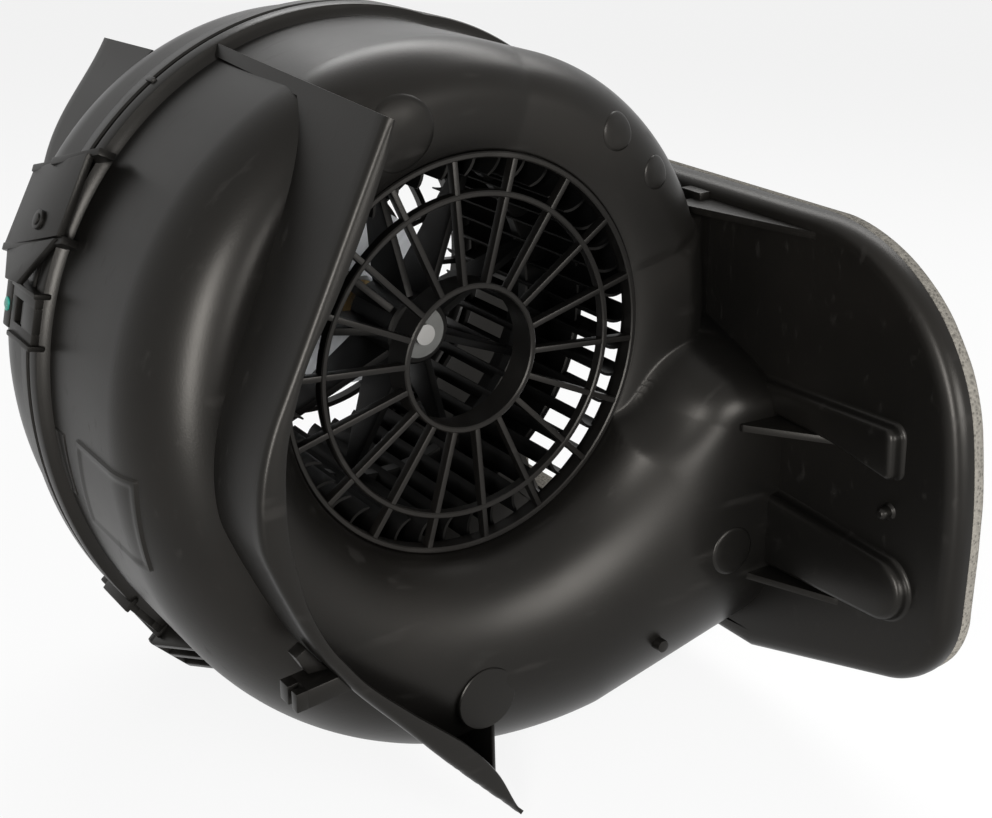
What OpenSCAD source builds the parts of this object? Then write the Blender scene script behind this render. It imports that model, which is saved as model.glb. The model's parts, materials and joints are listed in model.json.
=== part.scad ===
// Double-inlet cabin blower: a two-part scroll housing with a sealing fin and an outlet flange,
// guarded inlets, a squirrel-cage wheel and the direct-current motor that turns it.
// The fan axis lies along Y, the front inlet looks along -Y and the air leaves along +X.

/* [Inlets] */
// Diameter of the air inlet in each housing half
inlet_d = 150; // [146:1:154]
// Depth of the inlet rim behind the front reference plane
inlet_rim = 1; // [0:0.5:2]
// Width of the guard's bars and rings
guard_bar = 2.2; // [2:0.1:2.6]
// Depth of the guard's outer ring
guard_depth = 6.5; // [6:0.1:7]
// Depth of the guard's bars and middle ring
bar_depth = 4.5; // [3.5:0.1:5.5]
// Radius of the guard's middle ring
guard_mid_r = 61; // [56:1:64]
// Radius of the front guard's centre ring
guard_hub_r = 28; // [22:1:34]
// Length of the front guard's centre ring
guard_hub_depth = 12; // [8:1:16]
// Number of bars in a guard
guard_spokes = 18; // [12:1:24]
// Angle of the first bar
guard_turn = 15; // [0:1:30]
// Thickness of the guard's snap flange behind the inlet rim
guard_flange = 1.4; // [1:0.1:2]
// How far the snap flange reaches behind the inlet rim
guard_catch = 3; // [2:0.5:4]

/* [Scroll] */
// Wall thickness of the housing
shell_wall = 2.8; // [2.4:0.1:3.4]
// Outer wall radius where the scroll leaves the tongue
scroll_r = 109; // [107:0.5:111]
// Growth of the outer wall radius in one turn
scroll_growth = 72; // [68:1:76]
// Extra flare of the outer wall below the wheel
scroll_flare = 12.8; // [10:0.2:15]
// Growth of the cap radius from the scroll's start back towards the outlet, in one turn
cap_growth = 38; // [30:1:44]
// Height of the front bulge at the tongue
bulge_start = 2; // [1:0.5:4]
// Growth of the front bulge in one turn
bulge_growth = 46; // [42:1:50]
// Depth at which the rounded shoulder runs into the straight wall
shoulder_y = 18; // [14:1:22]
// Depth of the middle of the wheel, where the two sides mirror
mid_y = 63; // [62:0.5:64]
// Depth of the joint between the two halves
seam_y = 80; // [74:1:86]
// Height of the joint lip above the wall
lip_h = 4.5; // [3.5:0.5:6]
// Width of each half of the joint lip
lip_w = 8; // [6:0.5:10]
// Angle where the tongue closes the outlet
tongue_cut = 2; // [-2:1:6]

/* [Outlet flange] */
// Distance of the flange panel from the fan axis
plate_x = 125; // [122:1:128]
// Thickness of the flange panel and its rim
plate_t = 2.8; // [2.4:0.1:3.4]
// Depth of the rim around the panel
rim_h = 9; // [7:0.5:11]
// Height of the flange's top edge above the fan axis
plate_top = 43; // [42:0.5:45]
// Reach of the flange in front of the inlet plane
plate_front = 121; // [118:1:124]
// Reach of the flange behind the inlet plane
plate_back = 176; // [172:1:182]
// Drop of the flange's bottom edge below the fan axis
plate_drop = 148; // [147:1:152]
// Drop of the duct floor at the flange below the fan axis
floor_drop = 146; // [144:0.5:146.5]
// Radius of the large front top corner
corner_top_r = 79; // [76:1:82]
// Radius of the front edge below that corner
corner_side_r = 170; // [160:2:180]
// Radius of the bottom front corner
corner_low_r = 38; // [32:1:42]
// Radius of the rear corners
corner_back_r = 14; // [10:1:20]
// Rise of the bottom edge at its front corner
low_rise = 20; // [16:1:24]
// Height of the raised stiffeners on the panel
pad_h = 5; // [4:0.5:7]
// Thickness of the gussets between scroll and panel
gusset_t = 3; // [2.4:0.1:4]
// Thickness of the foam seal beyond the rim
seal_proud = 6; // [4:0.5:8]
// Width of the foam seal
seal_w = 13; // [10:0.5:16]
// Gap between the foam seal and the rim
seal_gap = 0.3; // [0.2:0.1:0.5]

/* [Sealing fin] */
// Distance of the fin's flat upper part from the fan axis
fin_offset = 98; // [97:0.5:100]
// Lean of the fin's upper part from the vertical
fin_lean = 25.4; // [24:0.2:27]
// Reach of the fin in front of the inlet plane
fin_front = 48; // [44:1:52]
// Reach of the fin behind the rear inlet plane
fin_back = 43; // [40:1:46]
// Drop of the rear fin's top below the front one
fin_drop = 6; // [4:0.5:7]
// Start of the fin above its nearest point to the axis
fin_rise = 66.5; // [65:0.5:68]
// Length of the flat upper part
fin_upper = 94; // [92:0.5:96]
// Radius of the bend
fin_bend_r = 85.5; // [83:0.5:88]
// Angle of the bend
fin_bend = 66.4; // [65:0.2:68]
// Length of the flat lower part
fin_lower = 115.5; // [112:0.5:117]
// Thickness of the fin
fin_t = 3; // [2.5:0.1:3.5]
// Width of the land along the fin's front edge
fin_land = 9; // [7:0.5:10]

/* [Fan wheel] */
// Outer diameter of the wheel
wheel_d = 160; // [154:1:164]
// Diameter of the circle inside the blades
blade_in_d = 130; // [126:1:134]
// Running gap between each inlet plane and the wheel
wheel_gap = 8; // [7.5:0.5:10]
// Number of blades
blades = 42; // [36:1:46]
// Thickness of a blade
blade_t = 1.1; // [0.9:0.1:1.4]
// Radius of the blade's curve
blade_r = 10; // [9:0.5:11]
// Width of the wheel's end rings along the axis
ring_w = 4; // [3:0.5:6]
// Thickness of the wheel's end rings
ring_t = 3; // [2:0.5:4]
// Thickness of the middle disc
web_t = 6; // [5:0.5:8]
// Inner radius of the middle disc
web_r = 66; // [64:0.5:67]
// Width of the closed band around the middle of the wheel
band_w = 46; // [40:1:50]
// Number of spokes between hub and disc
wheel_spokes = 9; // [6:1:12]
// Thickness of a spoke
spoke_t = 3; // [2.4:0.2:4]
// Diameter of the hub
hub_d = 26; // [24:1:32]
// Length of the hub in front of the middle of the wheel
hub_front = 27; // [24:1:28]

/* [Motor] */
// Diameter of the motor shaft
shaft_d = 8; // [7:0.5:9]
// Length of shaft beyond the hub
shaft_nose = 5; // [4:0.5:8]
// Diameter of the motor can
can_d = 72; // [70:1:73]
// Wall thickness of the motor can
can_t = 1.6; // [1.2:0.1:2]
// Depth of the can's front face
can_front = 86; // [85:0.5:88]
// Depth of the can's rear rim
can_back = 160; // [159:0.5:161]
// Outer diameter of the bearings
bearing_d = 17; // [16:0.5:18]
// Length of the bearings
bearing_l = 6.5; // [5:0.5:7]
// Thickness of the magnets
magnet_t = 4; // [3.5:0.1:4.5]
// Air gap between magnets and armature
air_gap = 0.6; // [0.5:0.1:0.9]
// Length of the armature core
core_l = 42; // [38:1:44]
// Number of armature slots
slots = 12; // [10:1:14]
// Diameter of the commutator
comm_d = 22; // [20:0.5:24]
// Thickness of the rubber sleeve around the motor
sleeve_t = 4; // [3:0.5:5]
// Thickness of the motor carrier's collar
collar_t = 3; // [2.5:0.1:4]
// Diameter of the retainer screws
screw_d = 4; // [3.5:0.5:5]

/* [Fits] */
// Radial running clearance of the shaft in its bearings
run_fit = 0.03; // [0.02:0.01:0.06]
// Radial clearance of parts fixed on the shaft
shaft_fit = 0.02; // [0.01:0.01:0.04]
// Clearance between parts that are pushed together
push_fit = 0.1; // [0.05:0.01:0.15]
// Clearance between snap features and around the guards
snap_fit = 0.3; // [0.2:0.05:0.5]

/* [Hidden] */
$fn = 64;
inlet_r = inlet_d / 2;
tongue_a = 76;
flare_a = 200;
foot_a = 288;
cap_a = 26;
pocket_a = 38;
crease_from = [66, -37];
crease_to = [plate_x, -13];
crease_w = 60;
crease_blend = 6;
roof_step = 1;
land_step = 0.4;
cavity_turn = 3.5;
side_turn = 30;
face_step = 0.4;
skin_steps = 11;
plate_seat = plate_x + plate_t;
rim_x = plate_x + rim_h;
seal_x = rim_x + seal_proud;
rear_y = 2 * mid_y;

wheel_r = wheel_d / 2;
wheel_y0 = wheel_gap;
wheel_y1 = rear_y - wheel_gap;
hub_y0 = mid_y - hub_front;
web_y0 = mid_y - web_t / 2;
web_y1 = mid_y + web_t / 2;
band_y0 = mid_y - band_w / 2;
band_y1 = mid_y + band_w / 2;

shaft_r = shaft_d / 2;
can_r = can_d / 2;
can_in = can_r - can_t;
bearing_r = bearing_d / 2;
boss_r = bearing_r + push_fit;
boss_out = boss_r + can_t;
boss_l = bearing_l + 1;
cap_t = 3;
cap_y = can_back + cap_t;
magnet_in = can_in - push_fit - magnet_t;
core_r = magnet_in - air_gap;
core_mid = (can_front + can_back) / 2 - 3;
core_y0 = core_mid - core_l / 2;
core_y1 = core_mid + core_l / 2;
coil_h = 6;
comm_r = comm_d / 2;
comm_y0 = core_y1 + coil_h + 1;
comm_y1 = comm_y0 + 10;
card_t = 3;
card_y = can_back - card_t;
card_r = can_in - 2.5;
brush_w = 7;
brush_h = 6;
brush_l = 11;
brush_y = comm_y0 + 1.5;
guide_t = 1.5;
spring_r = 2.6;
sleeve_in = can_r + push_fit;
sleeve_out = sleeve_in + sleeve_t;
collar_in = sleeve_out + push_fit;
collar_out = collar_in + collar_t;
collar_y0 = rear_y - 9;
collar_back = 24;
collar_y1 = rear_y + collar_back;
stop_t = 2;
retainer_t = 2;
screw_l = 10;
screw_r = screw_d / 2;
screw_ring = collar_out + screw_r + 1;
screw_boss = screw_r + 2;
guard_out = inlet_r - snap_fit;
guard_y0 = inlet_rim - 1.5;
guard_y1 = guard_y0 + guard_depth;
catch_y = inlet_rim + shell_wall + snap_fit;

// Drawing helpers: shapes are drawn with the fan axis along Z, front up, and then stood on Y.

module stand() {
    rotate([90, 0, 0]) children();
}

module span(y0, y1) {
    translate([0, 0, -y1]) linear_extrude(y1 - y0) children();
}

module tube(y0, y1, r_in, r_out) {
    span(y0, y1) difference() {
        circle(r_out);
        circle(r_in);
    }
}

module around(count, start = 0) {
    for (i = [0 : count - 1])
        rotate(start + i * 360 / count) children();
}

module panel_view(x0, x1) {
    translate([x0, 0, 0]) rotate([0, 90, 0]) linear_extrude(x1 - x0) children();
}

function polar(a, r) = [r * cos(a), r * sin(a)];
function steps(a, b, n) = [for (i = [0 : n - 1]) a + (b - a) * i / n];
function arc(c, r, a, b, n) = [for (i = [0 : n]) c + polar(a + (b - a) * i / n, r)];

// Scroll outline: a spiral that flares below the wheel and a round cap over the tongue, with a straight
// roof and floor that run to the outlet flange.

function flare(a) = scroll_flare * pow(max(0, min(a, foot_a) - flare_a) / (foot_a - flare_a), 2);
function spiral(a) = scroll_r + scroll_growth * (a - tongue_a) / 360 + flare(a);
function cap(a) = scroll_r + cap_growth * (tongue_a - a) / 360;
function bulge(a) = bulge_start + bulge_growth * max(0, a - tongue_a) / 360;
function line_gap(p, q) = cross(p, q) / norm(q - p);
function line_turn(p, q) = atan2(p[0] - q[0], q[1] - p[1]);

mouth_x = plate_x + plate_t / 2;
roof_from = [mouth_x, plate_top - roof_step];
roof_to = polar(cap_a, cap(cap_a));
roof_gap = line_gap(roof_from, roof_to);
roof_turn = line_turn(roof_from, roof_to);
floor_from = polar(foot_a, spiral(foot_a));
floor_to = [mouth_x, -floor_drop];
floor_gap = line_gap(floor_from, floor_to);
floor_turn = line_turn(floor_from, floor_to);
roof_a = atan2(plate_top - roof_step, mouth_x);
floor_a = atan2(-floor_drop, mouth_x);

function roof_room(a, r) = roof_gap - r * cos(a - roof_turn);
function floor_room(a, r) = floor_gap - r * cos(a - floor_turn);
function outline(a) =
    a < roof_a ? mouth_x / cos(a)
    : a < cap_a ? roof_gap / cos(a - roof_turn)
    : a < tongue_a ? cap(a)
    : a < foot_a ? spiral(a)
    : floor_gap / cos(a - floor_turn);

// Front skin: a bell mouth rises from the inlet to the bulge, and a shoulder falls to the wall.

function rise(u) = sqrt(1 - pow(1 - min(max(u, 0), 1), 2));
function blend_min(p, q, k) = let (h = max(k - abs(p - q), 0) / k) min(p, q) - h * h * k / 4;
function bell(r, w, h) = inlet_rim - (h + inlet_rim) * rise((r - inlet_r) / w);
function shoulder(room, w, h) = shoulder_y - (shoulder_y + h) * rise(room / w);
function crease_room(a, r) =
    let (along = crease_to - crease_from, gap = polar(a, r) - crease_from)
    -cross(along, gap) / norm(along);
function high_skin(a, r) =
    let (w = (spiral(a) - inlet_r) / 2, h = bulge(a))
    let (room = a < foot_a ? spiral(a) - r : floor_room(a, r))
    let (flank = a < 280 ? -h : shoulder(crease_room(a, r), crease_w, h))
    max(bell(r, w, h), shoulder(room, w, h), flank);
function low_skin(a, r) =
    let (w = (outline(a) - inlet_r) / 2)
    let (room = max(cap(a) - r, min(roof_room(a, r), mouth_x - r * cos(a))))
    max(bell(r, w, bulge_start), shoulder(room, w, bulge_start));
function skin(a, r) =
    a >= tongue_a ? high_skin(a, r)
    : blend_min(low_skin(a, r), high_skin(a + 360, r), crease_blend);

// The skin moved inwards by a wall thickness, both along the axis and along the radius.
function lined_skin(a, r, wall) =
    max(skin(a, r) + wall, skin(a, min(r + wall, outline(a))), skin(a, max(r - wall, inlet_r)));

// A ring-shaped solid between the skin, lined by a wall thickness, and a flat plane at depth y1.
module scroll_solid(angles, r_in, r_out, wall, y1) {
    n = len(angles);
    m = skin_steps + 3;
    points = [
        for (i = [0 : n - 1])
            let (a = angles[i], r1 = r_out[i])
            each concat(
                [for (j = [0 : skin_steps])
                    let (r = r_in + (r1 - r_in) * (1 - cos(180 * j / skin_steps)) / 2)
                    let (seen = min(max(r, inlet_r), outline(a)))
                    [r * cos(a), r * sin(a), -lined_skin(a, seen, wall)]],
                [[r1 * cos(a), r1 * sin(a), -y1], [r_in * cos(a), r_in * sin(a), -y1]])
    ];
    faces = [
        for (i = [0 : n - 1], j = [0 : m - 1])
            let (k = (i + 1) % n, l = (j + 1) % m)
            each [[i * m + j, k * m + l, i * m + l], [i * m + j, k * m + j, k * m + l]]
    ];
    polyhedron(points, faces);
}

outer_angles = concat(
    steps(floor_a, roof_a, 20), steps(roof_a, cap_a, 3), steps(cap_a, tongue_a, 8),
    steps(tongue_a, foot_a, 30), steps(foot_a, floor_a + 360, 4));

function cavity_r(a) =
    a < tongue_cut ? (plate_seat + 1) / cos(a)
    : a < foot_a ? spiral(a) - shell_wall
    : (floor_gap - shell_wall) / cos(a - floor_turn);
cavity_floor = atan2(-floor_drop + shell_wall, plate_seat + 1);
cavity_angles = concat(
    steps(cavity_floor, tongue_cut, 15), [tongue_cut - 0.4], steps(tongue_cut, tongue_a + cavity_turn, 8),
    steps(tongue_a + cavity_turn, foot_a + cavity_turn, 30),
    steps(foot_a + cavity_turn, cavity_floor + 360, 4));

module scroll_body(seam) {
    scroll_solid(outer_angles, inlet_r, [for (a = outer_angles) outline(a)], 0, seam);
}

module scroll_cavity(seam) {
    scroll_solid(
        cavity_angles, inlet_r - shell_wall, [for (a = cavity_angles) cavity_r(a)], shell_wall, seam + 1);
}

// The pocket between the tongue and the roof is cored out from the flange side.
module tongue_pocket(seam) {
    pocket = concat(
        [for (a = steps(tongue_cut + 4, pocket_a, 6)) polar(a, spiral(a) + shell_wall)],
        [for (a = [pocket_a : -4 : cap_a]) polar(a, cap(a) - 1.5 * shell_wall)],
        [roof_from + [plate_t + 1, -2 * shell_wall], [plate_seat + 1, shell_wall + 8]]);
    span(shoulder_y + shell_wall, seam + 1) polygon(pocket);
}

module joint_lip(seam) {
    lip_angles = concat(steps(roof_a, cap_a, 3), steps(cap_a, tongue_a, 10), steps(tongue_a, foot_a, 42),
                        steps(foot_a, floor_a + 360, 4), [floor_a + 360]);
    span(seam - lip_w, seam) intersection() {
        difference() {
            polygon([for (a = lip_angles) polar(a, outline(a) + lip_h)]);
            circle(inlet_r);
        }
        translate([plate_x - 400, -200]) square([400, 400]);
    }
}

// Sealing fin: a flat, a bend and a second flat, drawn as a strip between two insets.

fin_dir = [-sin(fin_lean), -cos(fin_lean)];
fin_in = [cos(fin_lean), -sin(fin_lean)];
fin_start = -fin_offset * fin_in - fin_rise * fin_dir;
bend_from = fin_start + fin_upper * fin_dir;
bend_centre = bend_from + fin_bend_r * fin_in;
bend_a = 180 - fin_lean;
fin_dir_low = [sin(fin_bend - fin_lean), -cos(fin_bend - fin_lean)];

function fin_line(inset, lead, cut) =
    let (r = fin_bend_r - inset)
    concat(
        [fin_start + inset * fin_in + lead * fin_dir],
        arc(bend_centre, r, bend_a, bend_a + fin_bend, 10),
        [bend_centre + polar(bend_a + fin_bend, r) + (fin_lower - cut) * fin_dir_low]);
function reversed(list) = [for (i = [len(list) - 1 : -1 : 0]) list[i]];

module fin_strip(inset0, inset1, drop, lead, cut) {
    polygon(concat(
        fin_line(inset0, drop + lead / 4, cut / 4), reversed(fin_line(inset1, drop + lead, cut))));
}

module fin(seam, reach, drop) {
    land_y = land_step - reach;
    span(-reach, seam) fin_strip(0, fin_t, drop, 0, fin_t);
    span(land_y, land_y + fin_t) fin_strip(fin_t / 2, fin_land, drop, 2 * fin_land, 2.5 * fin_land);
}

// Outlet flange: a panel with a turned-back rim, drawn in depth and height.

low_a = -atan2(low_rise, plate_front - corner_low_r - 20);
low_c = [corner_low_r - plate_front, corner_low_r + low_rise - plate_drop];
side_c = [corner_side_r - plate_front,
          plate_top - corner_top_r - (corner_side_r - corner_top_r) * sin(side_turn)];
top_c = side_c - polar(-side_turn, corner_side_r - corner_top_r);

function flange_line(inset) =
    let (top = plate_top - inset, back = plate_back - inset, low = -plate_drop + inset)
    let (back_r = max(corner_back_r - inset, 1))
    concat(
        arc([back - back_r, top - back_r], back_r, 0, 90, 4),
        arc(top_c, corner_top_r - inset, 90, 180 - side_turn, 9),
        arc(side_c, corner_side_r - inset, 185 - side_turn, 180, 5),
        arc(low_c, corner_low_r - inset, 180, 270 + low_a, 8),
        [[-20, low]],
        arc([back - back_r, low + back_r], back_r, -90, 0, 4));

module flange_part(y0, y1) {
    intersection() {
        union() {
            panel_view(plate_x, plate_seat) polygon(flange_line(0));
            panel_view(plate_x, rim_x) difference() {
                polygon(flange_line(0));
                polygon(flange_line(plate_t));
            }
        }
        span(y0, y1) square(4 * plate_back, center = true);
    }
}

// A triangular gusset that stands on the scroll and runs out along the panel.
module gusset(y, z, reach, rise_x) {
    hull() {
        translate([plate_x + 0.5, z, -y]) cube([1, gusset_t, 1], center = true);
        translate([plate_x - rise_x / 2, z, -y - 1]) cube([rise_x + 1, gusset_t, 1], center = true);
        translate([plate_x + 0.5, z, -y + reach]) cube([1, gusset_t, 1], center = true);
    }
}

module on_panel() {
    panel_view(plate_x - pad_h, plate_x + 1) children();
}

module flange_ribs() {
    gusset(20, plate_top - 8, 66, 15);
    gusset(-32, -40, 34, 22);
    gusset(-28, -106, 42, 16);
    on_panel() polygon([[-8, -28], [-93, -24], [-94, -43], [-86, -44.5], [-62, -39.5], [-10, -37]]);
    hull() {
        on_panel() translate([-24, -88]) circle(16, $fn = 32);
        on_panel() translate([-90, -89]) circle(12.5, $fn = 32);
    }
    on_panel() translate([-89, -58.5]) circle(2.5, $fn = 16);
}

// Round moulding pads on the front skin.
module skin_pad(x, z, y, r) {
    translate([x, z, -y - 14]) cylinder(h = 14, r = r, $fn = 32);
}

// Snap joint: a window frame on the front half holds a tooth on the rear half.

snap_angles = [172, 226, 300, 44];
snap_w = 20;
snap_t = 3;
window_w = 9;
window_l = 7;
snap_reach = 14;

// Direction that the lip faces at an angle round the scroll.
function lip_turn(a) =
    let (reach = 1, p = polar(a - reach, outline(a - reach)), q = polar(a + reach, outline(a + reach)))
    line_turn(p, q);

module on_lip(a) {
    translate(polar(a, outline(a) + lip_h)) rotate(lip_turn(a)) translate([0, 0, -seam_y]) children();
}

module snap_frame(a) {
    on_lip(a) difference() {
        hull() {
            translate([snap_fit, -snap_w / 2, -snap_reach]) cube([snap_t, snap_w, snap_reach + lip_w]);
            translate([-lip_h, -snap_w / 2, 0.5]) cube([lip_h, snap_w, lip_w - 0.5]);
        }
        translate([-lip_h, -snap_w, -snap_reach - 1]) cube([lip_h + snap_fit, 2 * snap_w, snap_reach + 1]);
        translate([-1, -window_w / 2, -window_l - 3]) cube([snap_t + 3, window_w, window_l]);
    }
}

module snap_tooth(a) {
    on_lip(a) hull() {
        translate([-1, snap_fit - window_w / 2, snap_fit - window_l - 3])
            cube([1, window_w - 2 * snap_fit, window_l - 2 * snap_fit]);
        translate([-1, snap_fit - window_w / 2, -3 - snap_fit - 1])
            cube([snap_t + 1, window_w - 2 * snap_fit, 1]);
    }
}

// Locating pad across the joint, with a pin and end ribs.
module locating_pad(a) {
    pad_w = 34;
    pad_l = 24;
    on_lip(a) {
        translate([snap_fit, -pad_w / 2, -pad_l]) cube([snap_t, pad_w, pad_l + lip_w]);
        translate([-lip_h, -pad_w / 2, 0.5]) cube([lip_h + 1, pad_w, lip_w - 0.5]);
        translate([snap_t, 0, -pad_l / 2]) rotate([0, 90, 0]) cylinder(h = 4, r = 3.5, $fn = 24);
        for (side = [-1, 1])
            translate([snap_fit, side * pad_w / 2 - 1.5, -pad_l]) cube([snap_t + 5, 3, pad_l + lip_w]);
    }
}

// Clip tab with a slot, on the outer foot of the fin.
module clip_tab() {
    foot = bend_centre + polar(bend_a + fin_bend, fin_bend_r) + 1.5 * fin_dir_low;
    translate([foot[0], foot[1], fin_front - fin_t]) rotate(fin_bend - fin_lean) difference() {
        hull() {
            translate([-14, -3, -22]) cube([15, 3, 22]);
            translate([-2, -12, -22]) cube([3, 12, 22]);
        }
        translate([-15, -8, -6]) cube([12, 6, 3]);
    }
}

module front_housing() {
    color("#2b2a29") stand() difference() {
        union() {
            scroll_body(seam_y);
            joint_lip(seam_y);
            fin(seam_y, fin_front, 0);
            flange_part(-plate_front - 1, seam_y);
            flange_ribs();
            skin_pad(-14, -120, -30, 11);
            skin_pad(102, -92, -34, 10);
            clip_tab();
            locating_pad(157);
            for (a = snap_angles)
                snap_frame(a);
        }
        scroll_cavity(seam_y);
        tongue_pocket(seam_y);
    }
}

module rear_housing() {
    rear_seam = rear_y - seam_y;
    color("#2b2a29") stand() difference() {
        union() {
            translate([0, 0, -rear_y]) mirror([0, 0, 1]) {
                scroll_body(rear_seam);
                joint_lip(rear_seam);
                fin(rear_seam, fin_back, fin_drop);
                gusset(20, plate_top - 8, 50, 15);
                gusset(-32, -40, 15, 22);
                gusset(-32, -72, 15, 22);
                gusset(-28, -106, 15, 16);
            }
            flange_part(seam_y, plate_back + 1);
            for (a = snap_angles)
                snap_tooth(a);
        }
        translate([0, 0, -rear_y]) mirror([0, 0, 1]) {
            scroll_cavity(rear_seam);
            tongue_pocket(rear_seam);
        }
    }
}

// Guards: rings and bars that snap in behind the inlet rims.

module guard_ring(r, y0, y1) {
    tube(y0, y1, r - guard_bar, r);
}

module guard_bars(r_from) {
    around(guard_spokes, guard_turn)
        translate([r_from - guard_bar / 2, -guard_bar / 2, face_step - guard_y0 - bar_depth])
            cube([guard_out - r_from, guard_bar, bar_depth - 2 * face_step]);
}

module guard_rim() {
    guard_ring(guard_out, guard_y0, guard_y1);
    tube(catch_y, catch_y + guard_flange, guard_out - guard_bar, inlet_r + guard_catch);
    guard_ring(guard_mid_r, guard_y0, guard_y0 + bar_depth);
}

module front_guard() {
    color("#1e1e1e") stand() {
        guard_rim();
        guard_bars(guard_hub_r);
        guard_ring(guard_hub_r, guard_y0, guard_y0 + guard_hub_depth);
    }
}

module motor_carrier() {
    color("#1e1e1e") stand() difference() {
        union() {
            translate([0, 0, -rear_y]) mirror([0, 0, 1]) {
                guard_rim();
                guard_bars(collar_out);
            }
            tube(collar_y0, collar_y1, collar_in, collar_out);
            tube(collar_y0 - stop_t, collar_y0, sleeve_in + 1, collar_out);
            around(3, guard_turn)
                span(rear_y, collar_y1) hull() {
                    translate([screw_ring, 0]) circle(screw_boss, $fn = 32);
                    translate([collar_out - 1, 0]) square([1, 2 * screw_boss], center = true);
                }
        }
        around(3, guard_turn)
            span(collar_y1 - screw_l - 2, collar_y1 + 1) translate([screw_ring, 0]) circle(screw_r + push_fit);
    }
}

module outlet_seal() {
    color("#6f675e") stand() {
        panel_view(plate_seat, rim_x + seal_proud / 2) difference() {
            polygon(flange_line(plate_t + seal_gap));
            polygon(flange_line(seal_w + plate_t - face_step));
        }
        panel_view(rim_x, seal_x) difference() {
            polygon(flange_line(seal_gap));
            polygon(flange_line(seal_w + plate_t));
        }
    }
}

// Fan wheel: curved blades between two end rings, carried by a spoked middle disc.

blade_mid_r = (blade_in_d + wheel_d) / 4;
blade_off = 8;
blade_sweep = 104;

module blade() {
    translate([blade_mid_r, blade_off, face_step - wheel_y1]) rotate(-90 - blade_sweep / 2)
        rotate_extrude(angle = blade_sweep)
            translate([blade_r - blade_t / 2, 0]) square([blade_t, wheel_y1 - wheel_y0 - 2 * face_step]);
}

module wheel_spoke() {
    rotate([90, 0, 0]) translate([0, 0, -spoke_t / 2]) linear_extrude(spoke_t)
        polygon([[hub_d / 2 - 2, -hub_y0 - 3], [web_r + 3, -web_y0 - face_step],
                 [web_r + 3, face_step - web_y1], [hub_d / 2 - 2, face_step - web_y1]]);
}

module fan_wheel() {
    color("#181818") stand() {
        around(blades) blade();
        for (y = [wheel_y0, wheel_y1 - ring_w])
            tube(y, y + ring_w, wheel_r - ring_t, wheel_r);
        tube(web_y0, web_y1, web_r, wheel_r - ring_t / 2);
        tube(band_y0, band_y1, wheel_r - ring_t, wheel_r);
        around(wheel_spokes, guard_turn) wheel_spoke();
        tube(hub_y0, web_y1, bush_r + push_fit, hub_d / 2);
    }
}

bush_r = shaft_r + 4;

module hub_bush() {
    color("#b9a06a") stand() tube(hub_y0, web_y1, shaft_r + shaft_fit, bush_r);
}

clip_t = 1.5;

module wheel_clip() {
    color("#9a9a98") stand()
        tube(hub_y0 - clip_t, hub_y0, shaft_r + shaft_fit, bush_r + 2);
}

shaft_y0 = hub_y0 - shaft_nose;
shaft_y1 = cap_y + bearing_l + 0.5;

module shaft() {
    color("#c9c9c6") stand() span(shaft_y0, shaft_y1) circle(shaft_r);
}

// Motor: armature, commutator, magnets and brushes in a deep-drawn can with an end cap.

slot_in = shaft_r + 9;
slot_w = 0.55 * 2 * PI * slot_in / slots;

module armature_core() {
    color("#8b8d90") stand() span(core_y0, core_y1) difference() {
        circle(core_r);
        circle(shaft_r + shaft_fit);
        around(slots) translate([slot_in, -slot_w / 2]) square([core_r, slot_w]);
    }
}

coil_fit = 0.2;

module windings() {
    coil_r = core_r - 3;
    color("#b5622c") stand() {
        tube(core_y0 - coil_h, core_y0 - coil_fit, slot_in - 2, coil_r);
        tube(core_y1 + coil_fit, core_y1 + coil_h, slot_in - 2, coil_r);
        span(core_y0 - coil_h / 2, core_y1 + coil_h / 2) around(slots)
            translate([slot_in + coil_fit, coil_fit - slot_w / 2])
                square([coil_r - slot_in - 1, slot_w - 2 * coil_fit]);
    }
}

module commutator() {
    color("#c58a4c") stand() tube(comm_y0, comm_y1, shaft_r + shaft_fit, comm_r);
}

module thrust_washers() {
    color("#d8d2c0") stand() {
        tube(can_front + can_t + 0.3, can_front + can_t + 1.3, shaft_r + shaft_fit, bearing_r - 1);
        tube(can_back - 1, can_back - 0.1, shaft_r + shaft_fit, bearing_r - 1);
    }
}

module motor_can() {
    boss_y = can_front - boss_l + can_t;
    color("#a9acae") stand() {
        tube(can_front, can_back, can_in, can_r);
        tube(can_front, can_front + can_t, boss_r, can_r);
        tube(boss_y, can_front + can_t, boss_r, boss_out);
    }
}

module motor_end_cap() {
    spigot = can_in - push_fit;
    color("#8f9294") stand() difference() {
        union() {
            tube(can_back, cap_y, boss_r, can_r);
            tube(can_back - 5, can_back, spigot - can_t, spigot);
            tube(can_back, cap_y + boss_l, boss_r, boss_out);
            span(cap_y + boss_l, cap_y + boss_l + can_t) circle(boss_out);
        }
        for (side = [-1, 1])
            translate([side * tab_gap / 2 - tab_w / 2 - snap_fit, -tab_z - tab_t / 2 - snap_fit, -cap_y - 1])
                cube([tab_w + 2 * snap_fit, tab_t + 2 * snap_fit, cap_t + 2]);
    }
}

magnet_sweep = 130;

module magnets() {
    color("#3b3c3f") stand()
        for (side = [0, 180])
            translate([0, 0, -can_back + 10]) rotate(side - magnet_sweep / 2)
                rotate_extrude(angle = magnet_sweep)
                    translate([magnet_in, 0]) square([magnet_t, can_back - can_front - 18]);
}

module bearing(y) {
    tube(y, y + bearing_l, shaft_r + run_fit, bearing_r);
}

module front_bearing() {
    color("#b08d57") stand() bearing(can_front + can_t - bearing_l);
}

module rear_bearing() {
    color("#b08d57") stand() bearing(can_back + 1);
}

// Brush gear: a card with two guides, carbon brushes and rolled springs behind them.

guide_from = comm_r + 2;
guide_to = comm_r + brush_l + 7;

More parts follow.
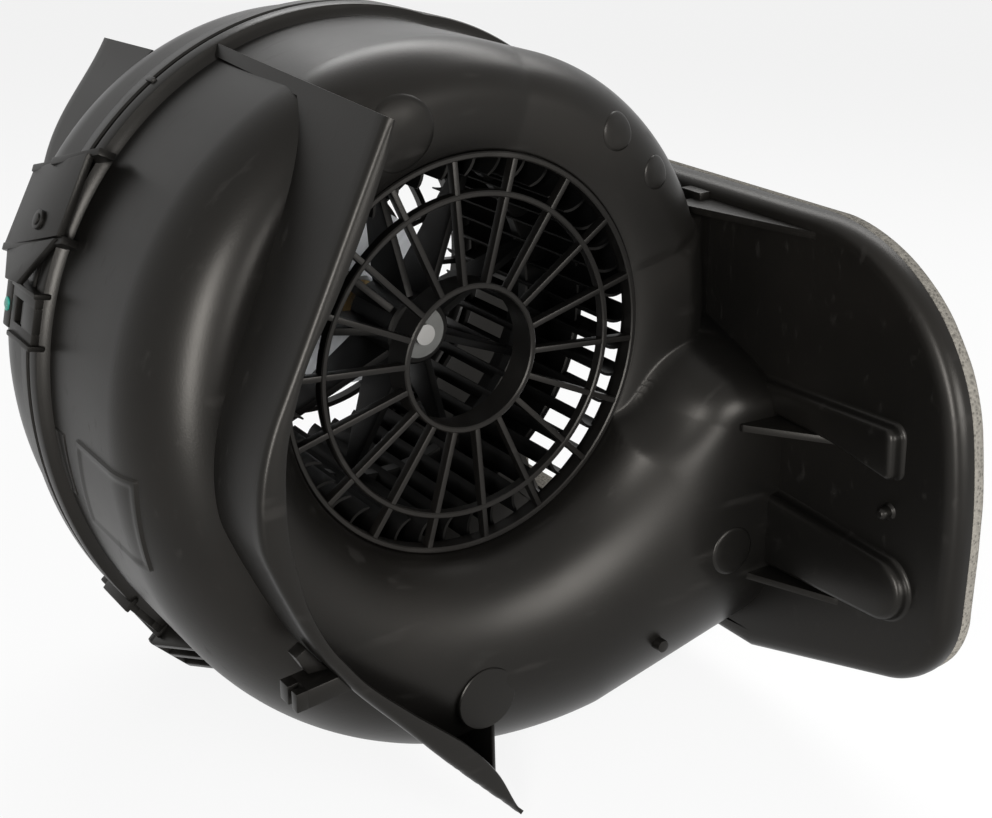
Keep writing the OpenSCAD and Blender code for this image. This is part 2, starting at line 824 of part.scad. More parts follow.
module brush_card() {
    color("#6a4a32") stand() {
        difference() {
            tube(card_y, can_back, comm_r + 2, card_r);
            for (side = [-1, 1])
                translate([side * tab_gap / 2 - tab_w / 2 - snap_fit, -tab_z - tab_t / 2 - snap_fit, -can_back - 1])
                    cube([tab_w + 2 * snap_fit, tab_t + 2 * snap_fit, card_t + 2]);
        }
        for (turn = [0, 180], side = [-1, 1])
            rotate(turn)
                translate([guide_from, side * (brush_w / 2 + push_fit + guide_t / 2) - guide_t / 2, -card_y])
                    cube([guide_to - guide_from, guide_t, card_y - brush_y]);
    }
}

module brushes() {
    color("#2e2f31") stand()
        for (turn = [0, 180])
            rotate(turn) difference() {
                translate([comm_r - 1, -brush_w / 2, -brush_y - brush_h])
                    cube([brush_l + 1, brush_w, brush_h]);
                span(brush_y - 1, brush_y + brush_h + 1) circle(comm_r + push_fit);
            }
}

module brush_springs() {
    color("#c3b8a0") stand()
        for (turn = [0, 180])
            rotate(turn)
                translate([comm_r + brush_l + spring_r + push_fit, 0, 0])
                    tube(brush_y, card_y - push_fit, spring_r - 0.8, spring_r);
}

tab_w = 6.3;
tab_t = 0.8;
tab_gap = 12;
tab_z = 24;
tab_l = 9;
shroud_w = 26;
shroud_h = 13;
shroud_t = 1.6;

module terminals() {
    color("#c9a94f") stand()
        for (side = [-1, 1])
            translate([side * tab_gap / 2 - tab_w / 2, -tab_z - tab_t / 2, -cap_y - tab_l])
                cube([tab_w, tab_t, tab_l + cap_t + card_t]);
}

module terminal_shroud() {
    color("#222222") stand() translate([0, -tab_z, 0]) difference() {
        span(cap_y, cap_y + tab_l + 2) square([shroud_w, shroud_h], center = true);
        span(cap_y + shroud_t, cap_y + tab_l + 3)
            square([shroud_w - 2 * shroud_t, shroud_h - 2 * shroud_t], center = true);
        for (side = [-1, 1])
            span(cap_y - 1, cap_y + shroud_t + 1) translate([side * tab_gap / 2, 0])
                square([tab_w + 2 * push_fit, tab_t + 2 * push_fit], center = true);
    }
}

// Motor mounting: a rubber sleeve in the carrier's collar, held by a screwed ring.

module motor_sleeve() {
    color("#1b1b1b") stand() tube(collar_y0, collar_y1, sleeve_in, sleeve_out);
}

module motor_retainer() {
    color("#9ea0a2") stand() span(collar_y1, collar_y1 + retainer_t) difference() {
        union() {
            circle(collar_out);
            around(3, guard_turn) translate([screw_ring, 0]) circle(screw_boss);
        }
        circle(sleeve_in + 1);
        around(3, guard_turn) translate([screw_ring, 0]) circle(screw_r + push_fit);
    }
}

module retainer_screws() {
    color("#b7b9ba") stand()
        around(3, guard_turn) translate([screw_ring, 0, 0]) {
            span(collar_y1 - screw_l, collar_y1 + retainer_t) circle(screw_r);
            span(collar_y1 + retainer_t, collar_y1 + retainer_t + 2.4) circle(screw_r + 1.8);
        }
}

front_housing();
rear_housing();
front_guard();
motor_carrier();
outlet_seal();
fan_wheel();
hub_bush();
wheel_clip();
shaft();
armature_core();
windings();
commutator();
thrust_washers();
motor_can();
motor_end_cap();
magnets();
front_bearing();
rear_bearing();
brush_card();
brushes();
brush_springs();
terminals();
terminal_shroud();
motor_sleeve();
motor_retainer();
retainer_screws();
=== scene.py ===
"""Looks of a double-inlet cabin blower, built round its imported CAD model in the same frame.

Lengths inside the shape functions are millimetres, angles are degrees round the fan axis from +X towards +Z.
"""

import json
import math

import bmesh
import bpy
from bpy.props import FloatProperty, FloatVectorProperty, IntProperty, PointerProperty
from mathutils import Matrix, Vector, noise
from mathutils.geometry import tessellate_polygon


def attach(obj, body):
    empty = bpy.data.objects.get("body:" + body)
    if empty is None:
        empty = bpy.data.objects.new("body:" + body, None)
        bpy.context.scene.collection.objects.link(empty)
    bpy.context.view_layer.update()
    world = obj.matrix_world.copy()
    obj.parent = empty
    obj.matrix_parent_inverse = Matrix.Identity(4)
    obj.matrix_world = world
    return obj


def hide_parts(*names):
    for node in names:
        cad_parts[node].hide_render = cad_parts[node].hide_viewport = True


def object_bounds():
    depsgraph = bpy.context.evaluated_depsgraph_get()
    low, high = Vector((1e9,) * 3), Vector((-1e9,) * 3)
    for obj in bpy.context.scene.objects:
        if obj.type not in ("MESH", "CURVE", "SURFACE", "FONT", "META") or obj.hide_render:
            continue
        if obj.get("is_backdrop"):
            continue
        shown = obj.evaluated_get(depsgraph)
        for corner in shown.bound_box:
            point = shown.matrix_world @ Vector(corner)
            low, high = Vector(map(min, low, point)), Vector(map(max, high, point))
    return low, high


bl_info = {
    "name": "Cabin blower looks",
    "version": (1, 0, 0),
    "blender": (4, 5, 0),
    "location": "3D View > Sidebar > Blower",
    "description": "Dresses the packed cabin blower with its shell, fin, flange, guards, wheel, finishes and studio",
    "category": "Object",
}

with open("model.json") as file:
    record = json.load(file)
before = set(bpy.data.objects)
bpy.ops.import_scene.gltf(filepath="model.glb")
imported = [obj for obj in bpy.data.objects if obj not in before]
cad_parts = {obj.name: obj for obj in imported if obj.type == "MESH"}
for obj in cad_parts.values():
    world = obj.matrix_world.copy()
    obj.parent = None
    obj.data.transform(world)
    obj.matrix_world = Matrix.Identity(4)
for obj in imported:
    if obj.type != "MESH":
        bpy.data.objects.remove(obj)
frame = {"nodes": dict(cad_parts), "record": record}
CAD_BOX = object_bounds()
MM = 0.001
REAR_Y = 126.0


# Sizes and finishes that a user would change


def length(name, description, value):
    return FloatProperty(name=name, description=description, default=value, min=0.0, unit="LENGTH", precision=5)


def tint(name, description, value):
    return FloatVectorProperty(
        name=name, description=description, default=value, min=0.0, max=1.0, size=3, subtype="COLOR")


def power(name, description, value):
    return FloatProperty(name=name, description=description, default=value, min=0.0, unit="POWER")


class BlowerSizes(bpy.types.PropertyGroup):
    """Lengths and counts of the dressed blower"""

    inlet_radius: length("Inlet radius", "Radius of each air inlet", 0.075)
    scroll_radius: length("Scroll radius", "Radius of the scroll wall where it leaves the tongue", 0.109)
    scroll_growth: length("Scroll growth", "Growth of the wall radius in one turn", 0.072)
    scroll_flare: length("Scroll flare", "Extra flare of the wall below the wheel", 0.0217)
    cap_growth: length("Cap growth", "Growth of the cap radius from the tongue back to the outlet, in one turn", 0.038)
    bulge_start: length("Bulge start", "Height of the front bulge at the tongue", 0.002)
    bulge_growth: length("Bulge growth", "Growth of the front bulge in one turn", 0.046)
    shell_wall: length("Shell wall", "Wall thickness of the housing", 0.0028)
    seam_depth: length("Seam depth", "Depth of the joint between the housing halves", 0.080)
    lip_height: length("Lip height", "Height of the joint lip above the wall", 0.0045)
    flange_rim: length("Flange rim", "Depth of the rim round the outlet flange", 0.009)
    fin_thickness: length("Fin thickness", "Wall thickness of the sealing fin", 0.003)
    blade_count: IntProperty(name="Blades", description="Number of wheel blades", default=42, min=12, max=72)
    guard_bars: IntProperty(name="Guard bars", description="Number of front guard bars", default=18, min=6, max=36)
    guard_bar: length("Guard bar", "Width of the guard's bars and rings", 0.0022)


class BlowerFinish(bpy.types.PropertyGroup):
    """Colours and gloss of the dressed blower"""

    housing_tint: tint("Housing", "Colour of the moulded housing", (0.0032, 0.0030, 0.0027))
    guard_tint: tint("Guard", "Colour of the guards and carrier", (0.0030, 0.0028, 0.0026))
    wheel_tint: tint("Wheel", "Colour of the fan wheel", (0.0018, 0.0018, 0.0018))
    foam_tint: tint("Foam", "Colour of the outlet seal", (0.150, 0.140, 0.122))
    dab_tint: tint("Dab", "Colour of the paint dab on the latch", (0.010, 0.260, 0.200))
    floor_tint: tint("Floor", "Colour of the studio floor", (0.90, 0.90, 0.90))
    housing_roughness: FloatProperty(
        name="Housing roughness", description="Roughness of the moulded housing", default=0.34, min=0.05, max=1.0,
        subtype="FACTOR")
    key_power: power("Key lamp", "Power of the overhead softbox", 8.0)
    side_power: power("Side lamp", "Power of the strip beside the camera", 13.0)
    fill_power: power("Front lamp", "Power of the low softbox before the inlet", 8.0)


def sizes():
    return bpy.context.scene.blower_sizes


def finishes():
    return bpy.context.scene.blower_finish


# Scroll outline and skin


def cosine(angle):
    return math.cos(math.radians(angle))


def sine(angle):
    return math.sin(math.radians(angle))


def polar(angle, radius):
    return Vector((radius * cosine(angle), radius * sine(angle)))


def heading(p):
    """Angle of a point round the fan axis."""
    return math.degrees(math.atan2(p.y, p.x))


def clamp(share):
    return min(max(share, 0.0), 1.0)


def rise(share):
    """Quarter round from 0 to 1."""
    return math.sqrt(1.0 - (1.0 - clamp(share)) ** 2)


def spread(low, high, count):
    """Even stations from low up to, but without, high."""
    return [low + (high - low) * i / count for i in range(count)]


def eased(low, high, count):
    """Stations from low to high that lie closer together at both ends."""
    return [low + (high - low) * (1 - math.cos(math.pi * i / count)) / 2 for i in range(count + 1)]


class Scroll:
    """Outline of the scroll wall and depth of its front skin, over angle and radius."""

    tongue, flared, foot, cap_end, pocket_end, cut = 76.0, 180.0, 288.0, 17.0, 38.0, 2.0
    shoulder_y, rim_y = 18.0, 1.0
    panel_x, panel_t, roof_z, floor_drop = 125.0, 2.8, 33.5, 146.0
    arch, arch_r = Vector((106, -46.3)), 41.0
    ridge_start, ridge_full, ridge_way, ridge_blend = 312.0, 338.0, Vector((0.64, 0.768)), 2.0
    fold_y, fold_reach, flank_reach, flank_blend = 20.0, 36.0, 32.0, 15.0
    pocket_y, pocket_lid, cap_blend = 20.8, 4.2, 9.0

    def __init__(self):
        s = sizes()
        self.inlet = s.inlet_radius / MM
        self.start = s.scroll_radius / MM
        self.growth = s.scroll_growth / MM
        self.flare_reach = s.scroll_flare / MM
        self.cap_growth = s.cap_growth / MM
        self.bulge_start = s.bulge_start / MM
        self.bulge_growth = s.bulge_growth / MM
        self.wall = s.shell_wall / MM
        self.seam = s.seam_depth / MM
        self.lip = s.lip_height / MM
        self.mouth = self.panel_x + self.panel_t / 2
        roof = (Vector((self.mouth, self.roof_z)), polar(self.cap_end, self.cap(self.cap_end)))
        lid = (roof[0] + Vector((3.8, -5.6)), polar(self.cap_end, self.cap(self.cap_end) - self.pocket_lid))
        floor = (polar(self.foot, self.spiral(self.foot)), Vector((self.mouth, -self.floor_drop)))
        self.roof_gap, self.roof_turn = self.line(*roof)
        self.lid_gap, self.lid_turn = self.line(*lid)
        self.floor_gap, self.floor_turn = self.line(*floor)
        self.roof_angle, self.floor_angle = heading(roof[0]), heading(floor[1])

    @staticmethod
    def line(p, q):
        """Distance of a straight from the fan axis, and the angle of its normal."""
        return p.cross(q) / (q - p).length, math.degrees(math.atan2(p.x - q.x, q.y - p.y))

    def joint(self, flip):
        """Depth of the joint, counted from the front, or from the rear for the flipped half."""
        return REAR_Y - self.seam if flip else self.seam

    def spiral(self, angle):
        share = max(0.0, min(angle, self.foot) - self.flared) / (self.foot - self.flared)
        return self.start + self.growth * (angle - self.tongue) / 360 + self.flare_reach * share * share

    def cap(self, angle):
        return self.start + self.cap_growth * (self.tongue - angle) / 360

    def bulge(self, angle):
        return self.bulge_start + self.bulge_growth * max(0.0, angle - self.tongue) / 360

    def turned(self, angle):
        """The same angle in the turn that begins at the floor's end."""
        while angle < self.floor_angle:
            angle += 360
        while angle >= self.floor_angle + 360:
            angle -= 360
        return angle

    def outline(self, angle):
        if angle < self.roof_angle:
            return self.mouth / cosine(angle)
        if angle < self.cap_end:
            return self.roof_gap / cosine(angle - self.roof_turn)
        if angle < self.tongue:
            return self.cap(angle)
        if angle < self.foot:
            return self.spiral(angle)
        return self.floor_gap / cosine(angle - self.floor_turn)

    def facing(self, angle):
        """Angle of the wall's outward normal."""
        p, q = (polar(a, self.outline(a)) for a in (angle - 1, angle + 1))
        return self.line(p, q)[1]

    def bell(self, radius, width, height):
        return self.rim_y - (height + self.rim_y) * rise((radius - self.inlet) / width)

    def shoulder(self, room, width, height):
        return self.shoulder_y - (self.shoulder_y + height) * rise(room / width)

    @staticmethod
    def soft_min(first, second, blend):
        """The lesser of two depths, rounded over where they meet."""
        share = max(blend - abs(first - second), 0.0) / max(blend, 1e-6)
        return min(first, second) - share * share * blend / 4

    def slope(self, room, width, height):
        """Depth that leaves a fold at an even slope and levels out."""
        return self.fold_y - (self.fold_y + height) * math.sin(math.pi / 2 * clamp(room / width))

    def ridge_room(self, p):
        """Way inside the arch where the outlet tube rises from the skin; the arch is open towards the scroll."""
        q = p - self.arch
        if q.x > 0:
            return math.sqrt(max(self.arch_r ** 2 - q.x ** 2, 0.0)) - q.y
        if q.dot(self.ridge_way) > 0:
            return self.arch_r - q.length
        return self.arch_r - max(0.0, self.ridge_way.cross(q))

    def high_skin(self, angle, radius):
        width, height = (self.spiral(angle) - self.inlet) / 2, self.bulge(angle)
        room = self.spiral(angle) - radius
        if angle >= self.foot:
            room = self.floor_gap - radius * cosine(angle - self.floor_turn)
        flank, share = -height, clamp((angle - self.ridge_start) / (self.ridge_full - self.ridge_start))
        if share:
            slope = self.slope(self.ridge_room(polar(angle, radius)), self.flank_reach, height)
            flank += (slope + height) * share * share * (3 - 2 * share)
        bell = -self.soft_min(-self.bell(radius, width, height), -flank, self.flank_blend * share)
        return max(bell, self.shoulder(room, width, height))

    def low_skin(self, angle, radius):
        width = (self.outline(angle) - self.inlet) / 2
        roof_room = self.roof_gap - radius * cosine(angle - self.roof_turn)
        height = self.bulge_start
        fold = self.slope(self.panel_x - radius * cosine(angle), self.fold_reach, height)
        edge = max(self.shoulder(roof_room, width, height), fold)
        cap = self.shoulder(self.cap(angle) - radius, width, height)
        return max(self.bell(radius, width, height), self.soft_min(cap, edge, self.cap_blend))

    def skin(self, angle, radius):
        if angle >= self.tongue:
            return self.high_skin(angle, radius)
        low, high = self.low_skin(angle, radius), self.high_skin(angle + 360, radius)
        return self.soft_min(low, high, self.ridge_blend)

    def lined_skin(self, angle, radius):
        """Depth of the skin's inner side."""
        edge = self.outline(angle)
        return max(
            self.skin(angle, radius) + self.wall,
            self.skin(angle, min(radius + self.wall, edge)),
            self.skin(angle, max(radius - self.wall, self.inlet)))

    def skin_at(self, p):
        angle = self.turned(heading(p))
        return self.skin(angle, min(max(math.hypot(*p), self.inlet), self.outline(angle)))

    def wall_radius(self, angle, depth):
        """Radius of the outer surface at a depth, on the straight wall or on its shoulder."""
        if depth >= self.shoulder_y:
            return self.outline(angle)
        width, height = (self.spiral(angle) - self.inlet) / 2, self.bulge(angle)
        share = min((self.shoulder_y - depth) / (self.shoulder_y + height), 0.98)
        return self.spiral(angle) - width * (1 - math.sqrt(1 - share * share))

    def half_profile(self, kind, angle, seam, pocket):
        """Closed section of one housing half at an angle, as radius and depth."""
        edge, wall = self.outline(angle), self.wall
        section = [(r, self.skin(angle, r)) for r in eased(self.inlet, edge, 46)]
        brink = section[-1][1]
        bore = edge if kind == "mouth" else self.spiral(angle) - wall
        if kind == "floor":
            bore = (self.floor_gap - wall) / cosine(angle - self.floor_turn)
        stop = brink if kind == "mouth" else seam
        outer_end = brink if kind == "tongue" and pocket else stop
        section += [(edge, brink + (outer_end - brink) * i / 6) for i in range(1, 7)]
        if pocket:
            inner = edge
            if kind == "roof":
                inner = self.lid_gap / cosine(angle - self.lid_turn)
            if kind == "cap":
                inner = self.cap(angle) - self.pocket_lid
            back = self.spiral(angle) + wall
            lid = [(inner, self.pocket_y), (back, self.pocket_y), (back, seam)]
            section += lid + lid[-1:] if kind == "tongue" else [(inner, seam)] + lid
        else:
            section += [(edge, stop)] * 4
        inside = self.lined_skin(angle, min(bore, edge))
        section += [(bore, stop + (inside - stop) * i / 4) for i in range(5)]
        section += [(r, self.lined_skin(angle, max(r, self.inlet))) for r in reversed(eased(self.inlet, bore, 22))][1:]
        return section

    def half_stations(self):
        """Kind, angle and pocket of every section round one half, from the floor's end through the mouth."""
        end, first, last, rows = self.cut + 3, self.floor_angle, self.floor_angle + 360, []
        for kind, pocket, low, high, count, *stop in (
                ("mouth", False, first, self.cut, 96, self.cut),
                ("tongue", False, self.cut, end, 5, end),
                ("tongue", True, end, self.roof_angle, 18, self.roof_angle - 1e-6),
                ("roof", True, self.roof_angle, self.cap_end, 12),
                ("cap", True, self.cap_end, self.pocket_end, 16, self.pocket_end),
                ("cap", False, self.pocket_end, self.tongue, 48),
                ("spiral", False, self.tongue, self.foot, 230),
                ("floor", False, self.foot, last, 34, last)):
            rows += [(kind, a, pocket) for a in spread(low, high, count) + stop]
        return rows


# Gathering shapes


def seen_from_front(u, v, w):
    """Outline in X and Z, drawn out along the depth."""
    return u, w, v


def seen_from_side(u, v, w):
    """Outline in depth and Z, drawn out along X."""
    return w, u, v


def seen_from_above(u, v, w):
    """Outline in X and depth, drawn out along Z."""
    return u, v, w


def on_wall(scroll, angle, lift=0.0):
    """Outline along the rim and the depth, drawn out from the wall, at one angle of the scroll."""
    turn = scroll.facing(angle)
    out, along = polar(turn, 1.0), polar(turn + 90, 1.0)
    foot = polar(angle, scroll.outline(angle) + lift)

    def place(u, v, w):
        p = foot + out * w + along * u
        return p.x, v, p.y

    return place


def across(place):
    """Outline along the depth and away from the wall, drawn out along the rim."""
    return lambda u, v, w: place(w, u, v)


def ring_row(angle, section):
    """Section of radius and depth, set up at an angle round the fan axis."""
    p = polar(angle, 1.0)
    return [(r * p.x, y, r * p.y) for r, y in section]


def on_half(rows, flip):
    """Rows of the front half, or their mirror image on the rear half."""
    return [[(x, REAR_Y - y, z) for x, y, z in row] for row in rows] if flip else rows


def circle(centre, radius, count):
    """Points round a centre."""
    return [Vector(centre) + polar(360 / count * i, radius) for i in range(count)]


def added(name, data):
    """New object in the scene."""
    obj = bpy.data.objects.new(name, data)
    bpy.context.scene.collection.objects.link(obj)
    return obj


class Shape:
    """Points and faces of one piece, gathered in millimetres."""

    def __init__(self):
        self.mesh = bmesh.new()

    def grid(self, rows, close_rows=False, close_columns=False):
        made = [[self.mesh.verts.new(p) for p in row] for row in rows]
        count, width = len(made), len(made[0])
        for i in range(count if close_rows else count - 1):
            for j in range(width if close_columns else width - 1):
                k, l = (i + 1) % count, (j + 1) % width
                self.mesh.faces.new((made[i][j], made[k][j], made[k][l], made[i][l]))

    def cap(self, points):
        self.mesh.faces.new([self.mesh.verts.new(p) for p in points])

    def tube(self, rows):
        """Closed sections in a row, with flat ends."""
        self.grid(rows, close_columns=True)
        self.cap(rows[0])
        self.cap(rows[-1])

    def fill(self, loops, place, depth):
        """Flat face with holes."""
        made = [self.mesh.verts.new(place(u, v, depth)) for loop in loops for u, v in loop]
        for tri in tessellate_polygon([[Vector((u, v, 0)) for u, v in loop] for loop in loops]):
            self.mesh.faces.new([made[i] for i in tri])

    def prism(self, outline, place, low, high, bevel=0.5, segments=2):
        bottom = [self.mesh.verts.new(place(u, v, low)) for u, v in outline]
        top = [self.mesh.verts.new(place(u, v, high)) for u, v in outline]
        made = [self.mesh.faces.new(bottom), self.mesh.faces.new(top)]
        for i in range(len(outline)):
            k = (i + 1) % len(outline)
            made.append(self.mesh.faces.new((bottom[i], bottom[k], top[k], top[i])))
        bmesh.ops.recalc_face_normals(self.mesh, faces=made)
        if bevel:
            least_turn = 0.35
            edges = list({e for f in made for e in f.edges if e.calc_face_angle(0) > least_turn})
            bmesh.ops.bevel(
                self.mesh, geom=edges, offset=bevel, segments=segments, profile=0.6, affect="EDGES", clamp_overlap=True)

    def box(self, place, u, v, w, bevel=0.5):
        self.prism([(u[0], v[0]), (u[1], v[0]), (u[1], v[1]), (u[0], v[1])], place, w[0], w[1], bevel)

    def lathe(self, profile):
        """Closed profile of radius and depth, turned round the fan axis."""
        steps = 144
        rows = [ring_row(360 * i / steps, profile) for i in range(steps)]
        self.grid(rows, close_rows=True, close_columns=True)

    def piece(self, name, finish, sharp):
        """Plain mesh object; edges that turn by more than the sharp angle stay sharp."""
        weld, sliver = 0.004, 0.0005
        bmesh.ops.remove_doubles(self.mesh, verts=self.mesh.verts, dist=weld)
        bmesh.ops.dissolve_degenerate(self.mesh, edges=self.mesh.edges, dist=sliver)
        loose = [v for v in self.mesh.verts if not v.link_faces]
        bmesh.ops.delete(self.mesh, geom=loose, context="VERTS")
        bmesh.ops.recalc_face_normals(self.mesh, faces=self.mesh.faces)
        for f in self.mesh.faces:
            f.smooth = True
        for e in self.mesh.edges:
            e.smooth = e.calc_face_angle(0) < math.radians(sharp)
        bmesh.ops.scale(self.mesh, vec=(MM, MM, MM), verts=self.mesh.verts)
        data = bpy.data.meshes.new(name)
        self.mesh.to_mesh(data)
        self.mesh.free()
        if finish:
            data.materials.append(finish)
        return added(name, data)

    def seated(self, name, slot, sharp, *nodes, body="housing"):
        """The piece with the finish of its slot, riding on its body and standing for CAD nodes."""
        seat(self.piece(name, FINISHES[slot], sharp), body, slot, *nodes)


HALVES = ("front_housing", "rear_housing")


def seat(obj, body, slot, *nodes):
    """Lets a piece ride on its body and stand for CAD nodes; the slot it is given is not used."""
    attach(obj, body)
    if nodes:
        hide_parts(*nodes)


# Shader maths


class Wire:
    """A shader socket that takes part in arithmetic."""

    def __init__(self, finish, socket):
        self.finish, self.socket = finish, socket

    def math(self, operation, *others):
        return self.finish.add("Math", {"operation": operation}, self, *others)

    def __add__(self, other):
        return self.math("ADD", other)

    __radd__ = __add__

    def __sub__(self, other):
        return self.math("SUBTRACT", other)

    def __mul__(self, other):
        return self.math("MULTIPLY", other)

    def between(self, low, high):
        """Smooth step from 0 at low to 1 at high."""
        return self.finish.add(
            "MapRange", {"interpolation_type": "SMOOTHSTEP"}, **{"Value": self, "From Min": low, "From Max": high})


class Finish:
    """A material or a world under construction."""

    def __init__(self, name, kind="materials", shader="Principled BSDF"):
        self.owner = getattr(bpy.data, kind).new(name)
        self.owner.use_nodes = True
        self.tree = self.owner.node_tree
        self.shader = self.tree.nodes[shader]

    def feed(self, socket, value):
        if isinstance(value, Wire):
            self.tree.links.new(value.socket, socket)
        else:
            socket.default_value = value

    def add(self, kind, settings=None, *values, out=0, **named):
        node = self.tree.nodes.new("ShaderNode" + kind)
        for key, value in (settings or {}).items():
            setattr(node, key, value)
        for index, value in enumerate(values):
            self.feed(node.inputs[index], value)
        for key, value in named.items():
            self.feed(node.inputs[key], value)
        return Wire(self, node.outputs[out])

    def place(self, stretch=(1, 1, 1)):
        """Object coordinates, scaled along each axis."""
        coords = self.add("TexCoord", out=3)
        return self.add("Mapping", **{"Vector": coords, "Scale": stretch})

    def noise(self, scale, detail=3.0, stretch=(1, 1, 1)):
        return self.add("TexNoise", **{"Vector": self.place(stretch), "Scale": scale, "Detail": detail})

    def cells(self, scale):
        return self.add("TexVoronoi", {"feature": "F1"}, **{"Vector": self.place(), "Scale": scale})

    def mix(self, factor, first, second):
        node = self.tree.nodes.new("ShaderNodeMix")
        node.data_type = "RGBA"
        for index, value in ((0, factor), (6, first), (7, second)):
            self.feed(node.inputs[index], value)
        return Wire(self, node.outputs[2])

    def bump(self, height, strength, distance):
        return self.add("Bump", **{"Height": height, "Strength": strength, "Distance": distance})

    def seen(self):
        """1 where the camera looks straight on, by reflection or through clear material, else 0."""
        node = self.add("LightPath").socket.node
        straight, gloss, passage = (
            Wire(self, node.outputs["Is %s Ray" % kind]) for kind in ("Camera", "Glossy", "Transmission"))
        return (straight + gloss + passage).math("MINIMUM", 1.0)

    def shade(self, **values):
        for key, value in values.items():
            self.feed(self.shader.inputs[key.replace("_", " ")], value)
        return self.owner


def rgba(colour, gain=1.0):
    return (*(min(c * gain, 1.0) for c in colour), 1.0)


def moulded_plastic(name, colour, roughness, gloss=0.20):
    """Satin moulded plastic: cloudy flow marks, fine grain and faint scuffs."""
    f = Finish(name)
    cloud = f.noise(9.0, 4.0)
    flow = f.noise(26.0, 3.0, (1.0, 0.35, 1.0))
    grain = f.noise(1500.0, 2.0)
    scuff = f.noise(240.0, 2.0, (0.12, 1.0, 0.5)).between(0.62, 0.78)
    dusty = cloud.between(0.42, 0.72)
    base = f.mix(dusty * 0.55, rgba(colour), rgba((colour[0] * 1.8, colour[1] * 1.65, colour[2] * 1.5)))
    return f.shade(
        Base_Color=f.mix(scuff * 0.15, base, rgba((0.028, 0.026, 0.024))),
        Roughness=roughness + (flow - 0.5) * 0.14 + dusty * 0.05 + scuff * 0.08,
        Specular_IOR_Level=gloss,
        Specular_Tint=(1.0, 0.95, 0.88, 1.0),
        Normal=f.bump(grain * 0.6 + flow * 0.9 + scuff * 0.3, 0.10, 0.0004))


def cellular_foam(name, colour):
    """Open-cell foam: small pits over soft lumps; the pits are painted darker as shade inside the cells."""
    f = Finish(name)
    pits = f.cells(650.0)
    lumps = f.noise(140.0, 4.0)
    # Painted shade: the pit colour is darkened to stand in for the shadow inside the foam's open cells.
    painted_pit_shade = f.mix(pits.between(0.0, 0.55), rgba(colour, 0.35), rgba(colour, 1.15))
    return f.shade(
        Base_Color=f.mix(lumps.between(0.35, 0.7) * 0.5, painted_pit_shade, rgba(colour, 0.8)),
        Roughness=0.86 + lumps * 0.12,
        Specular_IOR_Level=0.2,
        Normal=f.bump(pits + lumps * 0.8, 0.7, 0.0008))


def bare_metal(name, colour, roughness, stretch=(1, 1, 1)):
    """Metal with drawn or turned lines, light stains and brighter edges."""
    f = Finish(name)
    drawn = f.noise(420.0, 2.0, stretch)
    stain = f.noise(45.0, 4.0)
    edges = f.add("NewGeometry", out=7).between(0.52, 0.60)
    base = f.mix(stain.between(0.4, 0.75) * 0.5, rgba(colour), rgba(colour, 0.62))
    return f.shade(
        Base_Color=f.mix(edges * 0.6, base, rgba(colour, 1.35)),
        Metallic=1.0,
        Roughness=roughness + (drawn - 0.5) * 0.22 + stain * 0.10,
        Normal=f.bump(drawn, 0.12, 0.0002))


def dull_solid(name, colour, roughness, pores=800.0):
    """Rubber, carbon, ferrite or laminate: a matt body with fine pores and mottling."""
    f = Finish(name)
    pore = f.cells(pores)
    mottle = f.noise(60.0, 4.0)
    return f.shade(
        Base_Color=f.mix(mottle.between(0.35, 0.7), rgba(colour, 0.8), rgba(colour, 1.4)),
        Roughness=roughness + (mottle - 0.5) * 0.16,
        Specular_IOR_Level=0.35,
        Normal=f.bump(pore + mottle * 0.5, 0.2, 0.0002))


def wound_copper(name):
    """Enamelled wire: fine parallel turns in warm copper with darker varnish."""
    f = Finish(name)
    turns = f.add("TexWave", {"bands_direction": "Y"}, **{"Vector": f.place(), "Scale": 620.0, "Distortion": 1.2})
    varnish = f.noise(80.0, 3.0)
    return f.shade(
        Base_Color=f.mix(varnish.between(0.35, 0.75), rgba((0.50, 0.20, 0.075)), rgba((0.24, 0.085, 0.03))),
        Metallic=0.6,
        Roughness=0.30 + varnish * 0.15,
        Coat_Weight=0.4 + varnish * 0.2,
        Normal=f.bump(turns, 0.5, 0.0003))


def brushed_paint(name, colour):
    """A dab of marking paint: glossy ridges left by the brush over a thin edge."""
    f = Finish(name)
    ridges = f.noise(420.0, 2.0, (1.0, 0.25, 1.0))
    return f.shade(
        Base_Color=f.mix(ridges.between(0.3, 0.7), rgba(colour, 0.7), rgba(colour, 1.2)),
        Roughness=0.22 + ridges * 0.2,
        Normal=f.bump(ridges, 0.4, 0.0003))


FINISHES = {}


def make_finishes():
    t = finishes()
    rough = t.housing_roughness
    for slot, maker, *values in (
            ("housing_plastic", moulded_plastic, t.housing_tint, rough),
            ("guard_plastic", moulded_plastic, t.guard_tint, rough + 0.02),
            ("wheel_plastic", moulded_plastic, t.wheel_tint, rough + 0.10, 0.12),
            ("foam", cellular_foam, t.foam_tint),
            ("sleeve_rubber", dull_solid, (0.020, 0.020, 0.020), 0.62),
            ("bush_brass", bare_metal, (0.50, 0.37, 0.19), 0.42),
            ("terminal_brass", bare_metal, (0.72, 0.58, 0.30), 0.25, (1, 0.1, 1)),
            ("clip_steel", bare_metal, (0.10, 0.10, 0.095), 0.42),
            ("shaft_steel", bare_metal, (0.24, 0.235, 0.225), 0.40, (0.2, 2.0, 0.2)),
            ("core_steel", bare_metal, (0.30, 0.30, 0.31), 0.40, (0.1, 4.0, 0.1)),
            ("can_steel", bare_metal, (0.46, 0.47, 0.48), 0.34, (1.0, 0.08, 1.0)),
            ("copper", wound_copper),
            ("ferrite", dull_solid, (0.060, 0.060, 0.065), 0.55),
            ("carbon", dull_solid, (0.035, 0.035, 0.038), 0.48, 1200.0),
            ("card", dull_solid, (0.20, 0.105, 0.05), 0.50, 500.0),
            ("washer_plastic", dull_solid, (0.62, 0.58, 0.48), 0.45),
            ("dab", brushed_paint, t.dab_tint)):
        FINISHES[slot] = maker(slot, *values)


# Scroll shell


